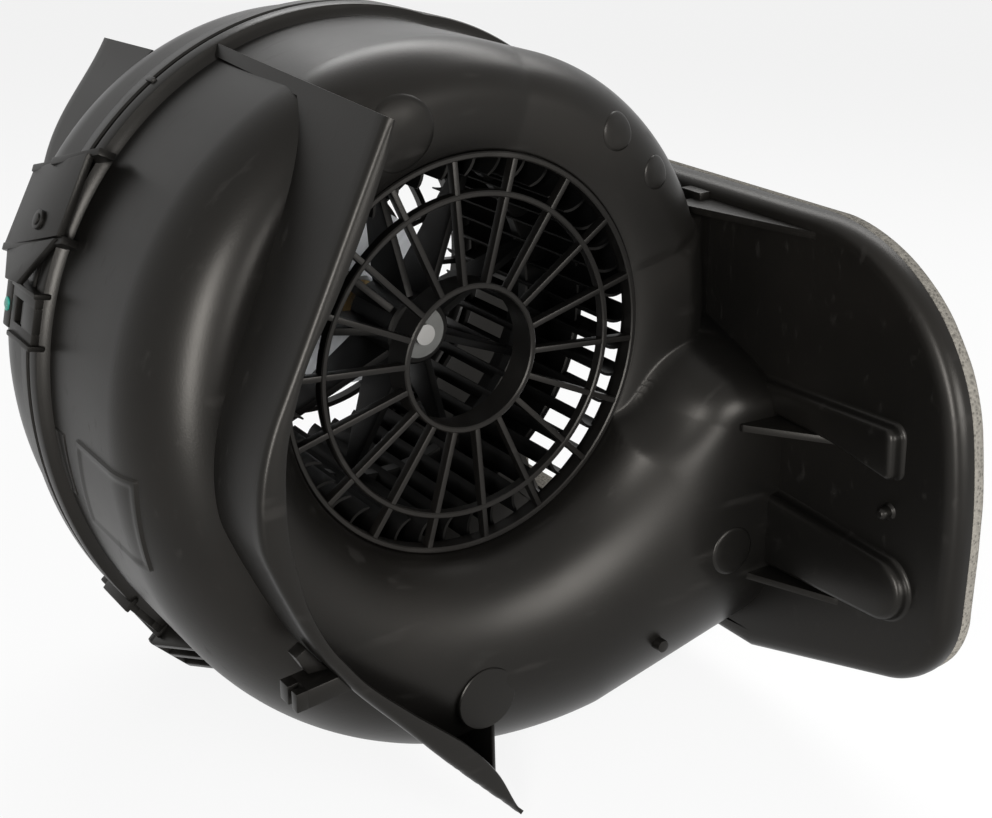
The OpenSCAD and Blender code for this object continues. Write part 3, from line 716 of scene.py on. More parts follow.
class BLOWER_OT_shell(bpy.types.Operator):
    """Make both halves of the scroll shell, with the tongue and its cored pocket"""

    bl_idname = "blower.shell"
    bl_label = "Scroll shell"

    def execute(self, context):
        scroll = Scroll()
        for name, node, flip in (("front_shell", "front_housing", False), ("rear_shell", "rear_housing", True)):
            shape, seam = Shape(), scroll.joint(flip)
            rows = [ring_row(angle, scroll.half_profile(kind, angle, seam, pocket))
                    for kind, angle, pocket in scroll.half_stations()]
            shape.grid(on_half(rows, flip), close_rows=True, close_columns=True)
            shape.seated(name, "housing_plastic", 40, node)
        return {"FINISHED"}


def lip_strip(shape, scroll, flip):
    """One half of the joint lip: a band round the wall that stops just short of the joint."""
    seam, height = scroll.joint(flip), scroll.lip
    section = [(-0.6, seam - 10.5), (0.5, seam - 9.2), (height - 1.6, seam - 8.2), (height - 0.4, seam - 7.8),
               (height, seam - 7.0), (height, seam - 1.8), (height - 0.6, seam - 1.1), (-0.6, seam - 0.9)]
    angles = spread(scroll.roof_angle, scroll.cap_end, 10) + spread(scroll.cap_end, scroll.tongue, 50)
    angles += spread(scroll.tongue, scroll.foot, 230)
    angles += spread(scroll.foot, scroll.floor_angle + 360, 50) + [scroll.floor_angle + 360]
    rows = []
    for a in angles:
        points = [(polar(a, scroll.outline(a) + h), y) for h, y in section]
        rows.append([(min(p.x, scroll.panel_x + 0.5), y, p.y) for p, y in points])
    shape.tube(on_half(rows, flip))


class BLOWER_OT_joint_lips(bpy.types.Operator):
    """Make the two lips that meet at the joint between the housing halves"""

    bl_idname = "blower.joint_lips"
    bl_label = "Joint lips"

    def execute(self, context):
        shape = Shape()
        for flip in (False, True):
            lip_strip(shape, Scroll(), flip)
        shape.seated("joint_lips", "housing_plastic", 30, *HALVES)
        return {"FINISHED"}


# Sealing fin

FIN_LEAN, FIN_OFFSET, FIN_RISE, FIN_UPPER = 25.4, 98.0, 66.5, 94.0
FIN_BEND_R, FIN_BEND, FIN_LOWER = 85.5, 66.4, 115.5
FIN_DOWN = Vector((-sine(FIN_LEAN), -cosine(FIN_LEAN)))
FIN_IN = Vector((cosine(FIN_LEAN), -sine(FIN_LEAN)))
FIN_FOOT = Vector((sine(FIN_BEND - FIN_LEAN), -cosine(FIN_BEND - FIN_LEAN)))
FIN_TOP = -FIN_OFFSET * FIN_IN - FIN_RISE * FIN_DOWN
FIN_CENTRE = FIN_TOP + FIN_UPPER * FIN_DOWN + FIN_BEND_R * FIN_IN
FIN_ARC = math.radians(FIN_BEND) * FIN_BEND_R
FIN_LENGTH = FIN_UPPER + FIN_ARC + FIN_LOWER
# Way down the fin, dip of its line towards the axis, width of the land along its free edge
FIN_EDGE = (
    (0, 0, 3.2), (12, 0, 5), (34, 0, 6), (56, 0, 5.5), (78, 0, 4), (100, 0, 6.5), (122, 0, 9.2), (140, 0.6, 9.4),
    (153, 2.6, 7.6), (165, 3.6, 5.6), (178, 3.2, 4.8), (192, 1.5, 4.8), (211, 0, 4.8), (237, 0, 6.4), (251, 0, 8),
    (266, 0, 9.2), (286, 0.4, 7.6), (309, 1.0, 1.4))


def fin_edge(way):
    """Dip and land at a way down the fin, as a smooth curve through its stations."""
    last = len(FIN_EDGE) - 1
    i = max(k for k in range(last) if FIN_EDGE[k][0] <= way or k == 0)
    t = min((way - FIN_EDGE[i][0]) / (FIN_EDGE[i + 1][0] - FIN_EDGE[i][0]), 1.0)
    before, here, after, beyond = (Vector(FIN_EDGE[min(max(k, 0), last)][1:]) for k in range(i - 1, i + 3))
    return here + (after - before) * (t / 2) + (before * 2 - here * 5 + after * 4 - beyond) * (t * t / 2) \
        + (here * 3 - after * 3 + beyond - before) * (t ** 3 / 2)


def fin_point(way, inset):
    """Point of the fin's line at a way down from its top, moved inwards by an inset."""
    if way < FIN_UPPER:
        return FIN_TOP + FIN_DOWN * way + FIN_IN * inset
    if way < FIN_UPPER + FIN_ARC:
        turn = FIN_BEND * (way - FIN_UPPER) / FIN_ARC
        return FIN_CENTRE + polar(180 - FIN_LEAN + turn, FIN_BEND_R - inset)
    end = FIN_CENTRE + polar(180 - FIN_LEAN + FIN_BEND, FIN_BEND_R - inset)
    return end + FIN_FOOT * (way - FIN_UPPER - FIN_ARC)


def fin_wall(shape, scroll, thick, reach, drop, bow, flip):
    """The fin with its land: a strip that stands on the skin, and reaches the joint where it is clear of the wall."""
    top_slant, slant_way, bow_way, taper_way = 0.045, 30, 104, 14
    torn_from, torn_way, count, front = 240, 30, 260, -reach

    def root(p):
        angle = scroll.turned(heading(p))
        if p.length > scroll.outline(angle) - 2.4:
            return scroll.joint(flip) - 0.6
        return scroll.skin(angle, max(p.length, scroll.inlet)) + 1.2

    rows = []
    for i in range(count + 1):
        way = drop + (FIN_LENGTH - drop) * i / count
        dip, land = fin_edge(way)
        thin = thick * min(1.0, 0.3 + 0.7 * (FIN_LENGTH - way) / taper_way)
        land = max(land, thin + 0.2)
        torn = 0.5 * max(0.0, noise.noise(Vector((way * 0.23, 3.1, 0)))) * clamp((way - torn_from) / torn_way)
        section = [
            (0.0, None), (torn * 0.4, front + 7.0), (torn, front + 3.0), (0.25 + torn, front + 1.7),
            (0.9 + torn, front + 0.7), (2.0, front + 0.1), (land - 1.1, front), (land - 0.3, front + 0.3),
            (land, front + 1.0), (land, front + 2.2), (thin + 0.3 * (land - thin), front + 3.0),
            (thin, front + 4.4), (thin, None)]
        out = bow * (1 - math.cos(math.tau * min(way / bow_way, 1.0))) / 2
        row = []
        for inset, y in section:
            depth = root(fin_point(way, inset + dip)) if y is None else y
            lift = top_slant * (depth + reach) * max(0.0, 1 - way / slant_way)
            p = fin_point(way - lift, inset + dip - out)
            row.append((p.x, depth, p.y))
        rows.append(row)
    shape.tube(on_half(rows, flip))


def beside_fin(way):
    """Outline in depth and inset from the fin, drawn out down the fin's lower part."""

    def place(u, v, w):
        p = fin_point(way + w, v)
        return p.x, u, p.y

    return place


class BLOWER_OT_fin(bpy.types.Operator):
    """Make the sealing fin with its bend, its land and the rib behind its foot"""

    bl_idname = "blower.fin"
    bl_label = "Sealing fin"

    def execute(self, context):
        scroll, thick, shape = Scroll(), sizes().fin_thickness / MM, Shape()
        fin_wall(shape, scroll, thick, 48.0, 0.0, 0.0, False)
        fin_wall(shape, scroll, thick, 43.0, 6.0, 7.5, True)
        rib = [(-45.5, 2.5), (-22.5, 22.0), (-20.5, 22.2), (-14.4, 12.0), (-3.9, 2.5)]
        shape.prism(rib, beside_fin(292), -1.2, 1.2, 0.4)
        shape.seated("sealing_fin", "housing_plastic", 38, *HALVES)
        return {"FINISHED"}


# Outlet flange

FLANGE_FRONT, FLANGE_BACK, FLANGE_TOP, FLANGE_LOW = -121.0, 176.0, 43.0, -150.0
TOP_R, SIDE_R, SIDE_TURN, LOW_R, LOW_RISE = 79.0, 252.0, 11.0, 38.0, 20.0
SIDE_CENTRE = Vector((SIDE_R + FLANGE_FRONT, FLANGE_TOP - TOP_R - (SIDE_R - TOP_R) * sine(SIDE_TURN)))


def arc(centre, radius, low, high, count):
    return [Vector(centre) + polar(low + (high - low) * i / count, radius) for i in range(count + 1)]


def flange_line(inset):
    """Outline of the flange in depth and height, moved inwards by an inset."""
    back_r = max(14 - inset, 1.0)
    tilt = -math.degrees(math.atan2(LOW_RISE, -FLANGE_FRONT - LOW_R - 20))
    back, top, low = FLANGE_BACK - inset, FLANGE_TOP - inset, FLANGE_LOW + inset
    line = arc((back - back_r, top - back_r), back_r, 0, 90, 10)
    line += arc(SIDE_CENTRE - polar(-SIDE_TURN, SIDE_R - TOP_R), TOP_R - inset, 90, 180 - SIDE_TURN, 34)
    line += arc(SIDE_CENTRE, SIDE_R - inset, 180.5 - SIDE_TURN, 180, 20)
    line += arc((FLANGE_FRONT + LOW_R, FLANGE_LOW + LOW_R + LOW_RISE), LOW_R - inset, 180, 270 + tilt, 24)
    line += [Vector((-20, low))]
    line += arc((back - back_r, low + back_r), back_r, -90, 0, 10)
    return line


def panel_rows(line, section):
    """Outline on the panel at each inset, set at its X."""
    return [[(x, *p) for p in line(inset)] for inset, x in section]


def mouth_line(scroll):
    """Edge of the outlet opening in depth and height."""
    front = []
    for a in spread(scroll.floor_angle + 0.6, scroll.cut, 60) + [scroll.cut]:
        edge = scroll.outline(a)
        front.append(Vector((scroll.lined_skin(a, edge), edge * sine(a))))
    return front + [Vector((REAR_Y - p.x, p.y)) for p in reversed(front)]


class BLOWER_OT_flange(bpy.types.Operator):
    """Make the outlet flange: a panel with a rounded, turned-back rim and the outlet opening"""

    bl_idname = "blower.flange"
    bl_label = "Outlet flange"

    def execute(self, context):
        scroll, shape = Scroll(), Shape()
        x, end = scroll.panel_x, scroll.panel_x + sizes().flange_rim / MM
        section = [
            (9.0, x), (7.0, x), (4.6, x + 0.25), (2.7, x + 1.0), (1.3, x + 2.3), (0.4, x + 4.0), (0.0, x + 6.0),
            (0.0, end - 0.5), (0.4, end), (2.4, end), (2.8, end - 0.5), (2.8, x + 5.0), (3.6, x + 3.5),
            (5.2, x + 2.8), (9.0, x + 2.8)]
        shape.grid(panel_rows(flange_line, section), close_columns=True)
        pocket = [Vector(p) for p in ((20.8, 11.0), (105.2, 11.0), (105.2, 28.0), (20.8, 28.0))]
        holes, faces = [mouth_line(scroll), pocket], (section[0], section[-1])
        for inset, px in faces:
            shape.fill([flange_line(inset), *holes], seen_from_side, px)
        for hole in holes:
            shape.grid([[(px, *p) for p in hole] for inset, px in faces], close_columns=True)
        shape.seated("outlet_flange", "housing_plastic", 30, *HALVES)
        return {"FINISHED"}


def gusset(shape, y, z, reach, height, flip):
    """Triangular plate between the scroll and the panel, tapering out along the panel."""
    x, half = Scroll.panel_x + 0.6, 1.5
    outline = [(x, y + 3), (x - height - 0.6, y + 3), (x - height - 0.6, y), (x, y - reach)]
    if flip:
        outline = [(u, REAR_Y - v) for u, v in outline]
    shape.prism(outline, seen_from_above, z - half, z + half, 0.6)


def plateau(shape, line, height):
    """Raised field on the panel with softly rounded edges; line gives its outline at an inset."""
    x = Scroll.panel_x
    top = x - height
    section = ((-2.2, x + 0.3), (-1.0, x - 0.15), (-0.3, x - 0.9), (0.0, x - 2.0), (0.1, top + 2.6), (0.5, top + 1.3),
               (1.3, top + 0.4), (2.6, top))
    shape.tube(panel_rows(line, section))


def round_end_line(inset):
    return arc((-24, -88), 16 - inset, 90, -90, 4) + arc((-90, -89), 12.5 - inset, 270, 90, 30)


def square_end_line(inset):
    line = [Vector((-2 - inset * 0.2, -27.6 - inset))]
    line += arc((-88.4, -28.6), 4.4 - inset, 92, 182, 8)
    line += arc((-90.2, -41.0), 3.2 - inset * 0.8, 183, 262, 8)
    line += [Vector((-62 + inset * 0.2, -39.6 + inset)), Vector((-2 - inset * 0.2, -37.0 + inset))]
    return line


class BLOWER_OT_stiffeners(bpy.types.Operator):
    """Make the gussets, raised fields and pin on the outlet flange"""

    bl_idname = "blower.stiffeners"
    bl_label = "Flange stiffeners"

    def execute(self, context):
        shape, x = Shape(), Scroll.panel_x
        for y, z, reach, height, flip in (
                (20, 35, 64, 15, False), (-32, -40, 32, 22, False), (-28, -106, 42, 16, False), (20, 35, 50, 15, True),
                (-32, -40, 15, 22, True), (-32, -72, 15, 22, True), (-28, -106, 15, 16, True)):
            gusset(shape, y, z, reach, height, flip)
        plateau(shape, square_end_line, 6.0)
        plateau(shape, round_end_line, 5.5)
        pin = Vector((-89, -58.5))
        dome = [(0.0, x - 5.4), (1.4, x - 5.2), (2.2, x - 4.4), (2.5, x - 3.2), (2.6, x - 1.0), (3.6, x + 0.2)]
        rows = [[(px, pin.x + r * math.cos(t), pin.y + r * math.sin(t)) for r, px in dome]
                for t in (math.tau * i / 28 for i in range(28))]
        shape.grid(rows, close_rows=True)
        shape.cap([row[-1] for row in rows])
        shape.box(seen_from_side, (18, 30), (35.5, 39.5), (x - 5, x + 0.5), 0.8)
        shape.seated("flange_stiffeners", "housing_plastic", 34, *HALVES)
        return {"FINISHED"}


class BLOWER_OT_seal(bpy.types.Operator):
    """Make the foam seal round the flange, with soft edges and a slightly wavy face"""

    bl_idname = "blower.seal"
    bl_label = "Foam seal"

    def execute(self, context):
        low, rim, high = Scroll.panel_x + 2.8, Scroll.panel_x + 9.3, Scroll.panel_x + 15.0
        section = [
            (3.1, low), (3.1, rim - 0.4), (2.4, rim), (0.6, rim), (0.3, rim + 0.6), (0.3, high - 1.8),
            (0.8, high - 0.6), (2.0, high), (8.0, high + 0.1), (14.2, high), (15.4, high - 0.7), (15.8, high - 2.0),
            (15.4, rim), (15.4, low)]
        rows = []
        for inset, px in section:
            row = []
            for p in flange_line(inset):
                wave = 0.45 * noise.noise(Vector((p.x * 0.06, p.y * 0.06, inset * 0.2)))
                loose = px > rim + 0.7
                row.append((px - abs(wave) * loose, p.x + wave * loose, p.y + wave * loose))
            rows.append(row)
        shape = Shape()
        shape.grid(rows, close_rows=True, close_columns=True)
        shape.seated("foam_seal", "foam", 40, "outlet_seal")
        return {"FINISHED"}


# Small mouldings on the shell


def skin_disc(shape, scroll, x, z, radius, height):
    """Low round pad that follows the front skin."""
    rows = []
    for share, lift in (
            (0.0, height), (0.5, height), (0.86, height), (0.95, height * 0.7), (1.0, 0.1), (1.03, -0.5),
            (0.9, -1.0), (0.5, -1.0), (0.0, -1.0)):
        rim = circle((x, z), radius * share, 48)
        rows.append([(p.x, scroll.skin_at(p) - lift, p.y) for p in rim])
    shape.grid(rows, close_columns=True)


def wall_frame(shape, scroll, angles, depths, ridge, lift, inner):
    """Raised, bare frame that follows the scroll wall; depths give its front and rear edge at both ends."""
    count, sink = 40, 0.4
    width = math.radians(angles[1] - angles[0]) * scroll.outline(angles[0])
    rows, under = [], []
    for i in range(count + 1):
        u = i / count
        a = angles[0] + (angles[1] - angles[0]) * u
        low, high = (first + (last - first) * u for first, last in depths)
        row, sunk = [], []
        for j in range(count + 1):
            v = j / count
            y = low + (high - low) * v
            side = min(u * width, (1 - u) * width, v * (high - low), (1 - v) * (high - low))
            if side < ridge:
                top = -sink + (lift + sink) * rise(side / (0.5 * ridge))
            else:
                top = inner + (lift - inner) * max(0.0, 1 - (side - ridge) / (0.6 * ridge))
            for line, level in ((row, top), (sunk, -sink - sink * min(side / ridge, 1.0))):
                p = polar(a, scroll.wall_radius(a, y) + level)
                line.append((p.x, y, p.y))
        rows.append(row)
        under.append(sunk)
    shape.grid(rows)
    shape.grid(under)


class BLOWER_OT_mouldings(bpy.types.Operator):
    """Make the round pads, the nub and the bare raised frames on the shell"""

    bl_idname = "blower.mouldings"
    bl_label = "Shell mouldings"

    def execute(self, context):
        scroll, shape = Scroll(), Shape()
        shape.prism(circle((-11, -123.5), 12.6, 36), seen_from_front, -26.6, -14.0, 0.9, 3)
        for x, z, radius, height in (
                (101.5, -92, 10, 0.6), (62.5, 74.5, 7.0, 0.4), (81, 57, 6.2, 0.4), (-30.5, 85.6, 13, 0.5)):
            skin_disc(shape, scroll, x, z, radius, height)
        shape.prism(circle((68, -124.5), 2.6, 24), seen_from_front, -32.5, -22.0, 0.7)
        wall_frame(shape, scroll, (187.0, 203.0), ((1.5, 5.0), (47.5, 55.0)), 2.4, 0.9, 0.35)
        wall_frame(shape, scroll, (188.4, 199.6), ((60.5, 63.0), (69.5, 69.5)), 1.0, 0.5, 0.05)
        shape.seated("shell_mouldings", "housing_plastic", 34, *HALVES)
        return {"FINISHED"}


def snap_latch(shape, scroll, angle):
    """Window frame on the front half, the tooth it holds and the block behind it on the rear half."""
    place = on_wall(scroll, angle, scroll.lip)
    for u, v, w, bevel in (
            ((-10.0, -4.5), (72.0, 94.0), (-1.5, 1.9), 0.5), ((4.5, 10.0), (72.0, 94.0), (-1.5, 1.9), 0.5),
            ((-4.8, 4.8), (72.0, 83.0), (-2.0, 1.9), 0.5), ((-4.8, 4.8), (90.0, 94.0), (-1.5, 1.9), 0.5),
            ((-10.3, -8.3), (70.5, 93.0), (-3.0, 3.2), 0.6), ((8.3, 10.3), (70.5, 93.0), (-3.0, 3.2), 0.6),
            ((-8.5, 8.5), (95.0, 101.0), (-5.5, 2.0), 0.8)):
        shape.box(place, u, v, w, bevel)
    wedge = [(83.4, -2.4), (83.4, 1.5), (84.6, 1.5), (89.6, -1.2), (89.6, -2.4)]
    shape.prism(wedge, across(place), -4.1, 4.1, 0.3)


class BLOWER_OT_latches(bpy.types.Operator):
    """Make the snap latches, the locating pad, the lugs and the clip tab round the joint"""

    bl_idname = "blower.latches"
    bl_label = "Latches and lugs"

    def execute(self, context):
        scroll, shape, dab = Scroll(), Shape(), Shape()
        for angle in (172, 226, 300, 44):
            snap_latch(shape, scroll, angle)
        self.locating_pad(shape, on_wall(scroll, 157, scroll.lip))
        self.lugs(shape, scroll)
        self.clip_tab(shape)
        shape.seated("latches", "housing_plastic", 34, *HALVES)
        place = on_wall(scroll, 172, scroll.lip + 2.0)
        blob = [polar(20 * i, 2.6 + 0.7 * noise.noise(Vector((i * 0.7, 1.0, 0)))) for i in range(18)]
        dab.prism([(p.x, p.y * 0.9 + 98) for p in blob], place, -0.2, 0.5, 0.3)
        seat(dab.piece("paint_dab", FINISHES["dab"], 50), "housing", "housing_plastic")
        return {"FINISHED"}

    @staticmethod
    def locating_pad(shape, place):
        field = [(-27, 68), (3, 66.5), (16.5, 106), (-13.5, 106)]
        shape.prism(field, place, 0.3, 3.3, 0.6)

        def ledge(start, end, heights):
            """Rib that stands on the pad along a slanting line, of growing height."""
            p, q = Vector(start), Vector(end)
            run = q - p

            def upright(u, v, w):
                at = p + run * u + Vector((run.y, -run.x)).normalized() * w
                return place(at.x, at.y, v)

            shape.prism([(0, -5.0), (0, heights[0]), (1, heights[1]), (1, 0.4)], upright, -1.4, 1.4, 0.5)

        ledge((-29, 64), (-18.5, 92), (1.5, 4.2))
        ledge((-20.5, 84), (-13.0, 107), (2.6, 3.6))
        ledge((3.5, 65), (16.8, 106), (1.6, 3.6))
        shape.prism([(4, 68), (16.5, 103), (26, 95), (25, 84)], place, 0.3, 3.0, 0.5)
        for radius, low, high in ((3.6, 2.8, 4.6), (2.2, 4.2, 5.2)):
            shape.prism(circle((1.5, 84), radius, 24), place, low, high, 0.5)

    @staticmethod
    def lugs(shape, scroll):
        place = on_wall(scroll, 234)
        for w in (-9.0, 0.0, 9.0):
            shape.prism([(44, -1), (72, 11), (77, 11), (77, -1)], across(place), w - 1.3, w + 1.3, 0.5)
        shape.box(place, (-10.3, 10.3), (73.0, 76.0), (-1.0, 11.3), 0.6)
        shape.box(on_wall(scroll, 130, scroll.lip), (-1.1, 1.1), (77.0, 82.5), (-2.0, 1.1), 0.5)

    @staticmethod
    def clip_tab(shape):
        arm = [(-94, -81.6), (-94, -88.8), (-76, -87.2), (-82, -80.4)]
        prong = [(-98, -82), (-98, -89.1), (-93.5, -88.8), (-93.5, -81.6)]
        jaw = [(-90.5, -70), (-94.6, -72.4), (-90.3, -79.8), (-82.5, -80.4), (-86.4, -75.4)]
        shape.prism(arm, seen_from_front, -45, -33, 0.7)
        for depth in ((-45, -41.2), (-38.8, -33)):
            shape.prism(prong, seen_from_front, *depth, 0.6)
        shape.prism(jaw, seen_from_front, -39, -33, 0.6)


# Guards and wheel


def ring_tree():
    """Node tree that repeats one part round the fan axis, as plain geometry with its finish."""
    tree = bpy.data.node_groups.new("parts_round_the_axis", "GeometryNodeTree")
    tree.interface.new_socket("Geometry", in_out="OUTPUT", socket_type="NodeSocketGeometry")
    sockets = {
        name: tree.interface.new_socket(name, in_out="INPUT", socket_type="NodeSocket" + kind).identifier
        for name, kind in (("Part", "Object"), ("Count", "Int"), ("First turn", "Float"), ("Finish", "Material"))}
    start, end, line, source, index, step, turn, spin, copies, real, coat = (tree.nodes.new(kind) for kind in (
        "NodeGroupInput", "NodeGroupOutput", "GeometryNodeMeshLine", "GeometryNodeObjectInfo", "GeometryNodeInputIndex",
        "ShaderNodeMath", "ShaderNodeMath", "ShaderNodeCombineXYZ", "GeometryNodeInstanceOnPoints",
        "GeometryNodeRealizeInstances", "GeometryNodeSetMaterial"))
    line.inputs["Offset"].default_value = (0, 0, 0)
    source.transform_space = "ORIGINAL"
    step.operation, turn.operation = "DIVIDE", "MULTIPLY_ADD"
    step.inputs[0].default_value = -math.tau
    for giver, out, taker, into in (
            (start, "Count", line, "Count"), (start, "Part", source, "Object"), (start, "Count", step, 1),
            (index, 0, turn, 0), (step, 0, turn, 1), (start, "First turn", turn, 2), (turn, 0, spin, "Y"),
            (line, "Mesh", copies, "Points"), (source, "Geometry", copies, "Instance"), (spin, 0, copies, "Rotation"),
            (copies, 0, real, 0), (real, 0, coat, "Geometry"), (start, "Finish", coat, "Material"),
            (coat, 0, end, "Geometry")):
        tree.links.new(giver.outputs[out], taker.inputs[into])
    return tree, sockets


def ring_of(name, part, count, first_angle, body, slot, node):
    """Plain mesh piece with copies of a part round the fan axis; the part itself goes."""
    tree, sockets = ring_tree()
    holder = added(name + "_maker", bpy.data.meshes.new(name + "_maker"))
    maker = holder.modifiers.new("ring", "NODES")
    maker.node_group = tree
    for key, value in (
            ("Part", part), ("Count", count), ("First turn", -math.radians(first_angle)), ("Finish", FINISHES[slot])):
        maker[sockets[key]] = value
    graph = bpy.context.evaluated_depsgraph_get()
    data = bpy.data.meshes.new_from_object(holder.evaluated_get(graph), depsgraph=graph)
    data.name = name
    obj = added(name, data)
    bpy.data.objects.remove(holder)
    bpy.data.objects.remove(part)
    bpy.data.node_groups.remove(tree)
    seat(obj, body, slot, node)


def soft_ring(inner, outer, low, high, edge):
    """Section of a ring with rounded edges, as radius and depth."""
    return [(inner, low + edge), (inner + edge, low), (outer - edge, low), (outer, low + edge),
            (outer, high - edge), (outer - edge, high), (inner + edge, high), (inner, high - edge)]


class BLOWER_OT_guard(bpy.types.Operator):
    """Make the front inlet guard: three rings, and bars repeated round the axis"""

    bl_idname = "blower.guard"
    bl_label = "Front guard"

    def execute(self, context):
        bar, low, high, thin = sizes().guard_bar / MM, -0.5, 6.0, 4.0
        rings, spoke = Shape(), Shape()
        for outer, y0, y1 in ((74.7, low, high), (61.0, low, thin), (28.0, low, 11.5)):
            rings.lathe(soft_ring(outer - bar, outer, y0, y1, 0.45))
        rings.lathe(soft_ring(72.5, 78.0, 4.1, 5.5, 0.2))
        rings.seated("guard_rings", "guard_plastic", 34, "front_guard")
        spoke.box(seen_from_front, (26.8, 73.4), (-bar / 2, bar / 2), (low + 0.3, thin - 0.3), 0.45)
        part = spoke.piece("guard_spoke", None, 34)
        ring_of("guard_bars", part, sizes().guard_bars, 15.0, "housing", "guard_plastic", "front_guard")
        return {"FINISHED"}


class BLOWER_OT_wheel(bpy.types.Operator):
    """Make the squirrel-cage wheel: curved blades, spokes, end rings, middle disc and hub"""

    bl_idname = "blower.wheel"
    bl_label = "Fan wheel"

    def execute(self, context):
        ride = "rotor", "wheel_plastic", "fan_wheel"
        vane, arm, core = Shape(), Shape(), Shape()
        outer, inner, centre, bow = [], [], Vector((72.5, 8)), 10
        for i in range(11):
            turn = -142 + 104 * i / 10
            thin = 0.55 * (0.55 + 0.45 * rise(min(i, 10 - i) / 2.5))
            outer.append(centre + polar(turn, bow + thin))
            inner.append(centre + polar(turn, bow - thin))
        vane.prism(outer + inner[::-1], seen_from_front, 8.4, 117.6, 0)
        ring_of("wheel_blades", vane.piece("vane", None, 40), sizes().blade_count, 0.0, *ride)
        arm.prism([(11, 39.0), (69, 60.4), (69, 65.6), (11, 65.6)], seen_from_above, -1.5, 1.5, 0.5)
        ring_of("wheel_arms", arm.piece("arm", None, 34), 9, 15.0, *ride)
        for ring in ((77.0, 80.0, 8.0, 12.0, 0.5), (77.0, 80.0, 114.0, 118.0, 0.5), (66.0, 78.5, 60.0, 66.0, 0.6),
                     (77.0, 80.0, 40.0, 86.0, 0.6), (8.1, 13.0, 36.0, 66.0, 0.8)):
            core.lathe(soft_ring(*ring))
        core.seated("wheel_core", "wheel_plastic", 34, "fan_wheel", body="rotor")
        return {"FINISHED"}


class BLOWER_OT_cad_finishes(bpy.types.Operator):
    """Give every CAD node the finish of its slot"""

    bl_idname = "blower.cad_finishes"
    bl_label = "Finishes of the CAD nodes"

    def execute(self, context):
        for row in frame["record"]["subparts"]:
            data = frame["nodes"][row["node"]].data
            data.materials.clear()
            data.materials.append(FINISHES[row["material_slot"]])
        return {"FINISHED"}


# Studio

WORLD_LIGHT, FLOOR_GLOW, FLOOR_REACH, FLOOR_GAP = 0.16, 0.86, 6.0, 0.001
# Camera: turn and rise in degrees, way back, to the right and down in metres, focal length in picture widths
VIEW_TURN, VIEW_RISE, VIEW_WAY, VIEW_RIGHT, VIEW_DROP = -34.1, 22.0, 0.580, 0.0087, 0.0179
VIEW_FOCUS, SENSOR = 1624.0 / 992.0, 36.0


def softbox(name, azimuth, elevation, size, power):
    """Area lamp a metre from the blower; azimuth runs from the front, -Y, towards +X."""
    data = bpy.data.lights.new(name, "AREA")
    data.shape = "RECTANGLE"
    data.size, data.size_y = size
    data.energy = power
    lamp = added(name, data)
    out = polar(elevation, 1.0)
    side = polar(azimuth, out.x)
    lamp.location = (side.y, -side.x, out.y)
    lamp.rotation_mode = "QUATERNION"
    lamp.rotation_quaternion = lamp.location.to_track_quat("Z", "Y")


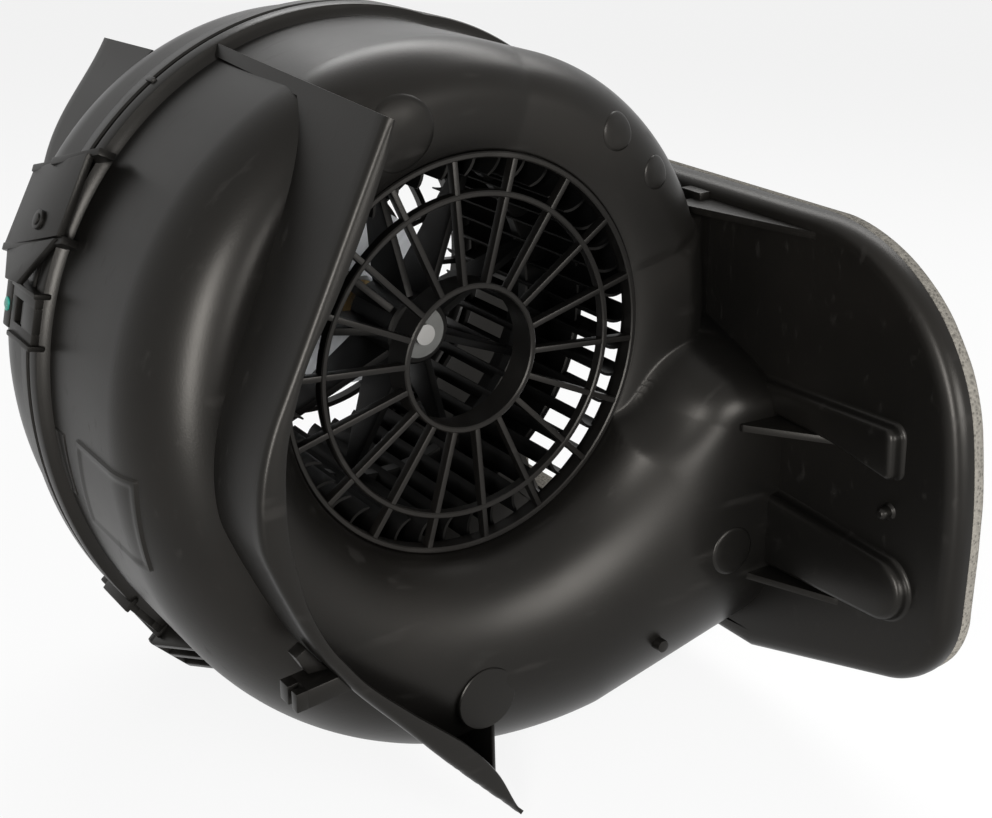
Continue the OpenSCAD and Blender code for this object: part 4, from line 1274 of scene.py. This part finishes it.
class BLOWER_OT_studio(bpy.types.Operator):
    """Set up the floor, the soft light, the pale background and the camera"""

    bl_idname = "blower.studio"
    bl_label = "Studio"

    def execute(self, context):
        self.floor()
        self.world(context.scene)
        t = finishes()
        softbox("key_softbox", 130, 48, (1.10, 0.30), t.key_power)
        softbox("side_softbox", -42, 10, (0.16, 0.60), t.side_power)
        softbox("front_softbox", 12, 9, (0.45, 0.36), t.fill_power)
        self.camera(context.scene)
        context.scene.view_settings.view_transform = "Standard"
        return {"FINISHED"}

    @staticmethod
    def floor():
        low, reach = min(CAD_BOX[0].z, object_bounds()[0].z) - FLOOR_GAP, FLOOR_REACH
        data = bpy.data.meshes.new("floor")
        corners = ((-reach, -reach), (reach, -reach), (reach, reach), (-reach, reach))
        data.from_pydata([(x, y, low) for x, y in corners], [], [(0, 1, 2, 3)])
        floor = added("floor", data)
        f = Finish("floor_card")
        speckle = f.noise(30.0, 2.0)
        colour = finishes().floor_tint
        f.shade(Base_Color=f.mix(speckle, rgba(colour, 0.99), rgba(colour)), Roughness=0.9, Specular_IOR_Level=0.0)
        glow = f.add("Emission", **{"Color": (1, 1, 1, 1), "Strength": 1.0})
        blend = f.add("MixShader", None, f.seen() * FLOOR_GLOW, Wire(f, f.shader.outputs[0]), glow)
        f.tree.links.new(blend.socket, f.tree.nodes["Material Output"].inputs["Surface"])
        data.materials.append(f.owner)
        floor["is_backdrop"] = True

    @staticmethod
    def world(scene):
        f = Finish("studio", "worlds", "Background")
        level = f.add("MapRange", **{"Value": f.seen(), "To Min": WORLD_LIGHT, "To Max": 1.0})
        scene.world = f.shade(Color=(1, 1, 1, 1), Strength=level)

    @staticmethod
    def camera(scene):
        flat = cosine(VIEW_RISE)
        back = Vector((sine(VIEW_TURN) * flat, -cosine(VIEW_TURN) * flat, sine(VIEW_RISE)))
        right = Vector((cosine(VIEW_TURN), sine(VIEW_TURN), 0))
        up = back.cross(right)
        data = bpy.data.cameras.new("camera")
        data.sensor_width, data.lens = SENSOR, SENSOR * VIEW_FOCUS
        data.clip_start, data.clip_end = 0.01, 100.0
        camera = added("camera", data)
        spot = back * VIEW_WAY + right * VIEW_RIGHT - up * VIEW_DROP
        camera.matrix_world = Matrix.Translation(spot) @ Matrix((right, up, back)).transposed().to_4x4()
        scene.camera = camera


OPERATORS = (
    BLOWER_OT_shell, BLOWER_OT_joint_lips, BLOWER_OT_fin, BLOWER_OT_flange, BLOWER_OT_stiffeners, BLOWER_OT_seal,
    BLOWER_OT_mouldings, BLOWER_OT_latches, BLOWER_OT_guard, BLOWER_OT_wheel, BLOWER_OT_cad_finishes, BLOWER_OT_studio)


class BLOWER_PT_sidebar(bpy.types.Panel):
    """Lists the blower's sizes, finishes and making steps"""

    bl_idname = "BLOWER_PT_sidebar"
    bl_label = "Blower"
    bl_space_type = "VIEW_3D"
    bl_region_type = "UI"
    bl_category = "Blower"

    def draw(self, context):
        for group in (context.scene.blower_sizes, context.scene.blower_finish):
            for key in group.__annotations__:
                self.layout.prop(group, key)
        for step in OPERATORS:
            self.layout.operator(step.bl_idname)


CLASSES = (BlowerSizes, BlowerFinish, *OPERATORS, BLOWER_PT_sidebar)


def register():
    for cls in CLASSES:
        bpy.utils.register_class(cls)
    bpy.types.Scene.blower_sizes = PointerProperty(type=BlowerSizes)
    bpy.types.Scene.blower_finish = PointerProperty(type=BlowerFinish)


def unregister():
    del bpy.types.Scene.blower_finish
    del bpy.types.Scene.blower_sizes
    for cls in reversed(CLASSES):
        bpy.utils.unregister_class(cls)


def main():
    register()
    make_finishes()
    for step in OPERATORS:
        group, name = step.bl_idname.split(".")
        getattr(getattr(bpy.ops, group), name)()


if __name__ == "__main__":
    main()
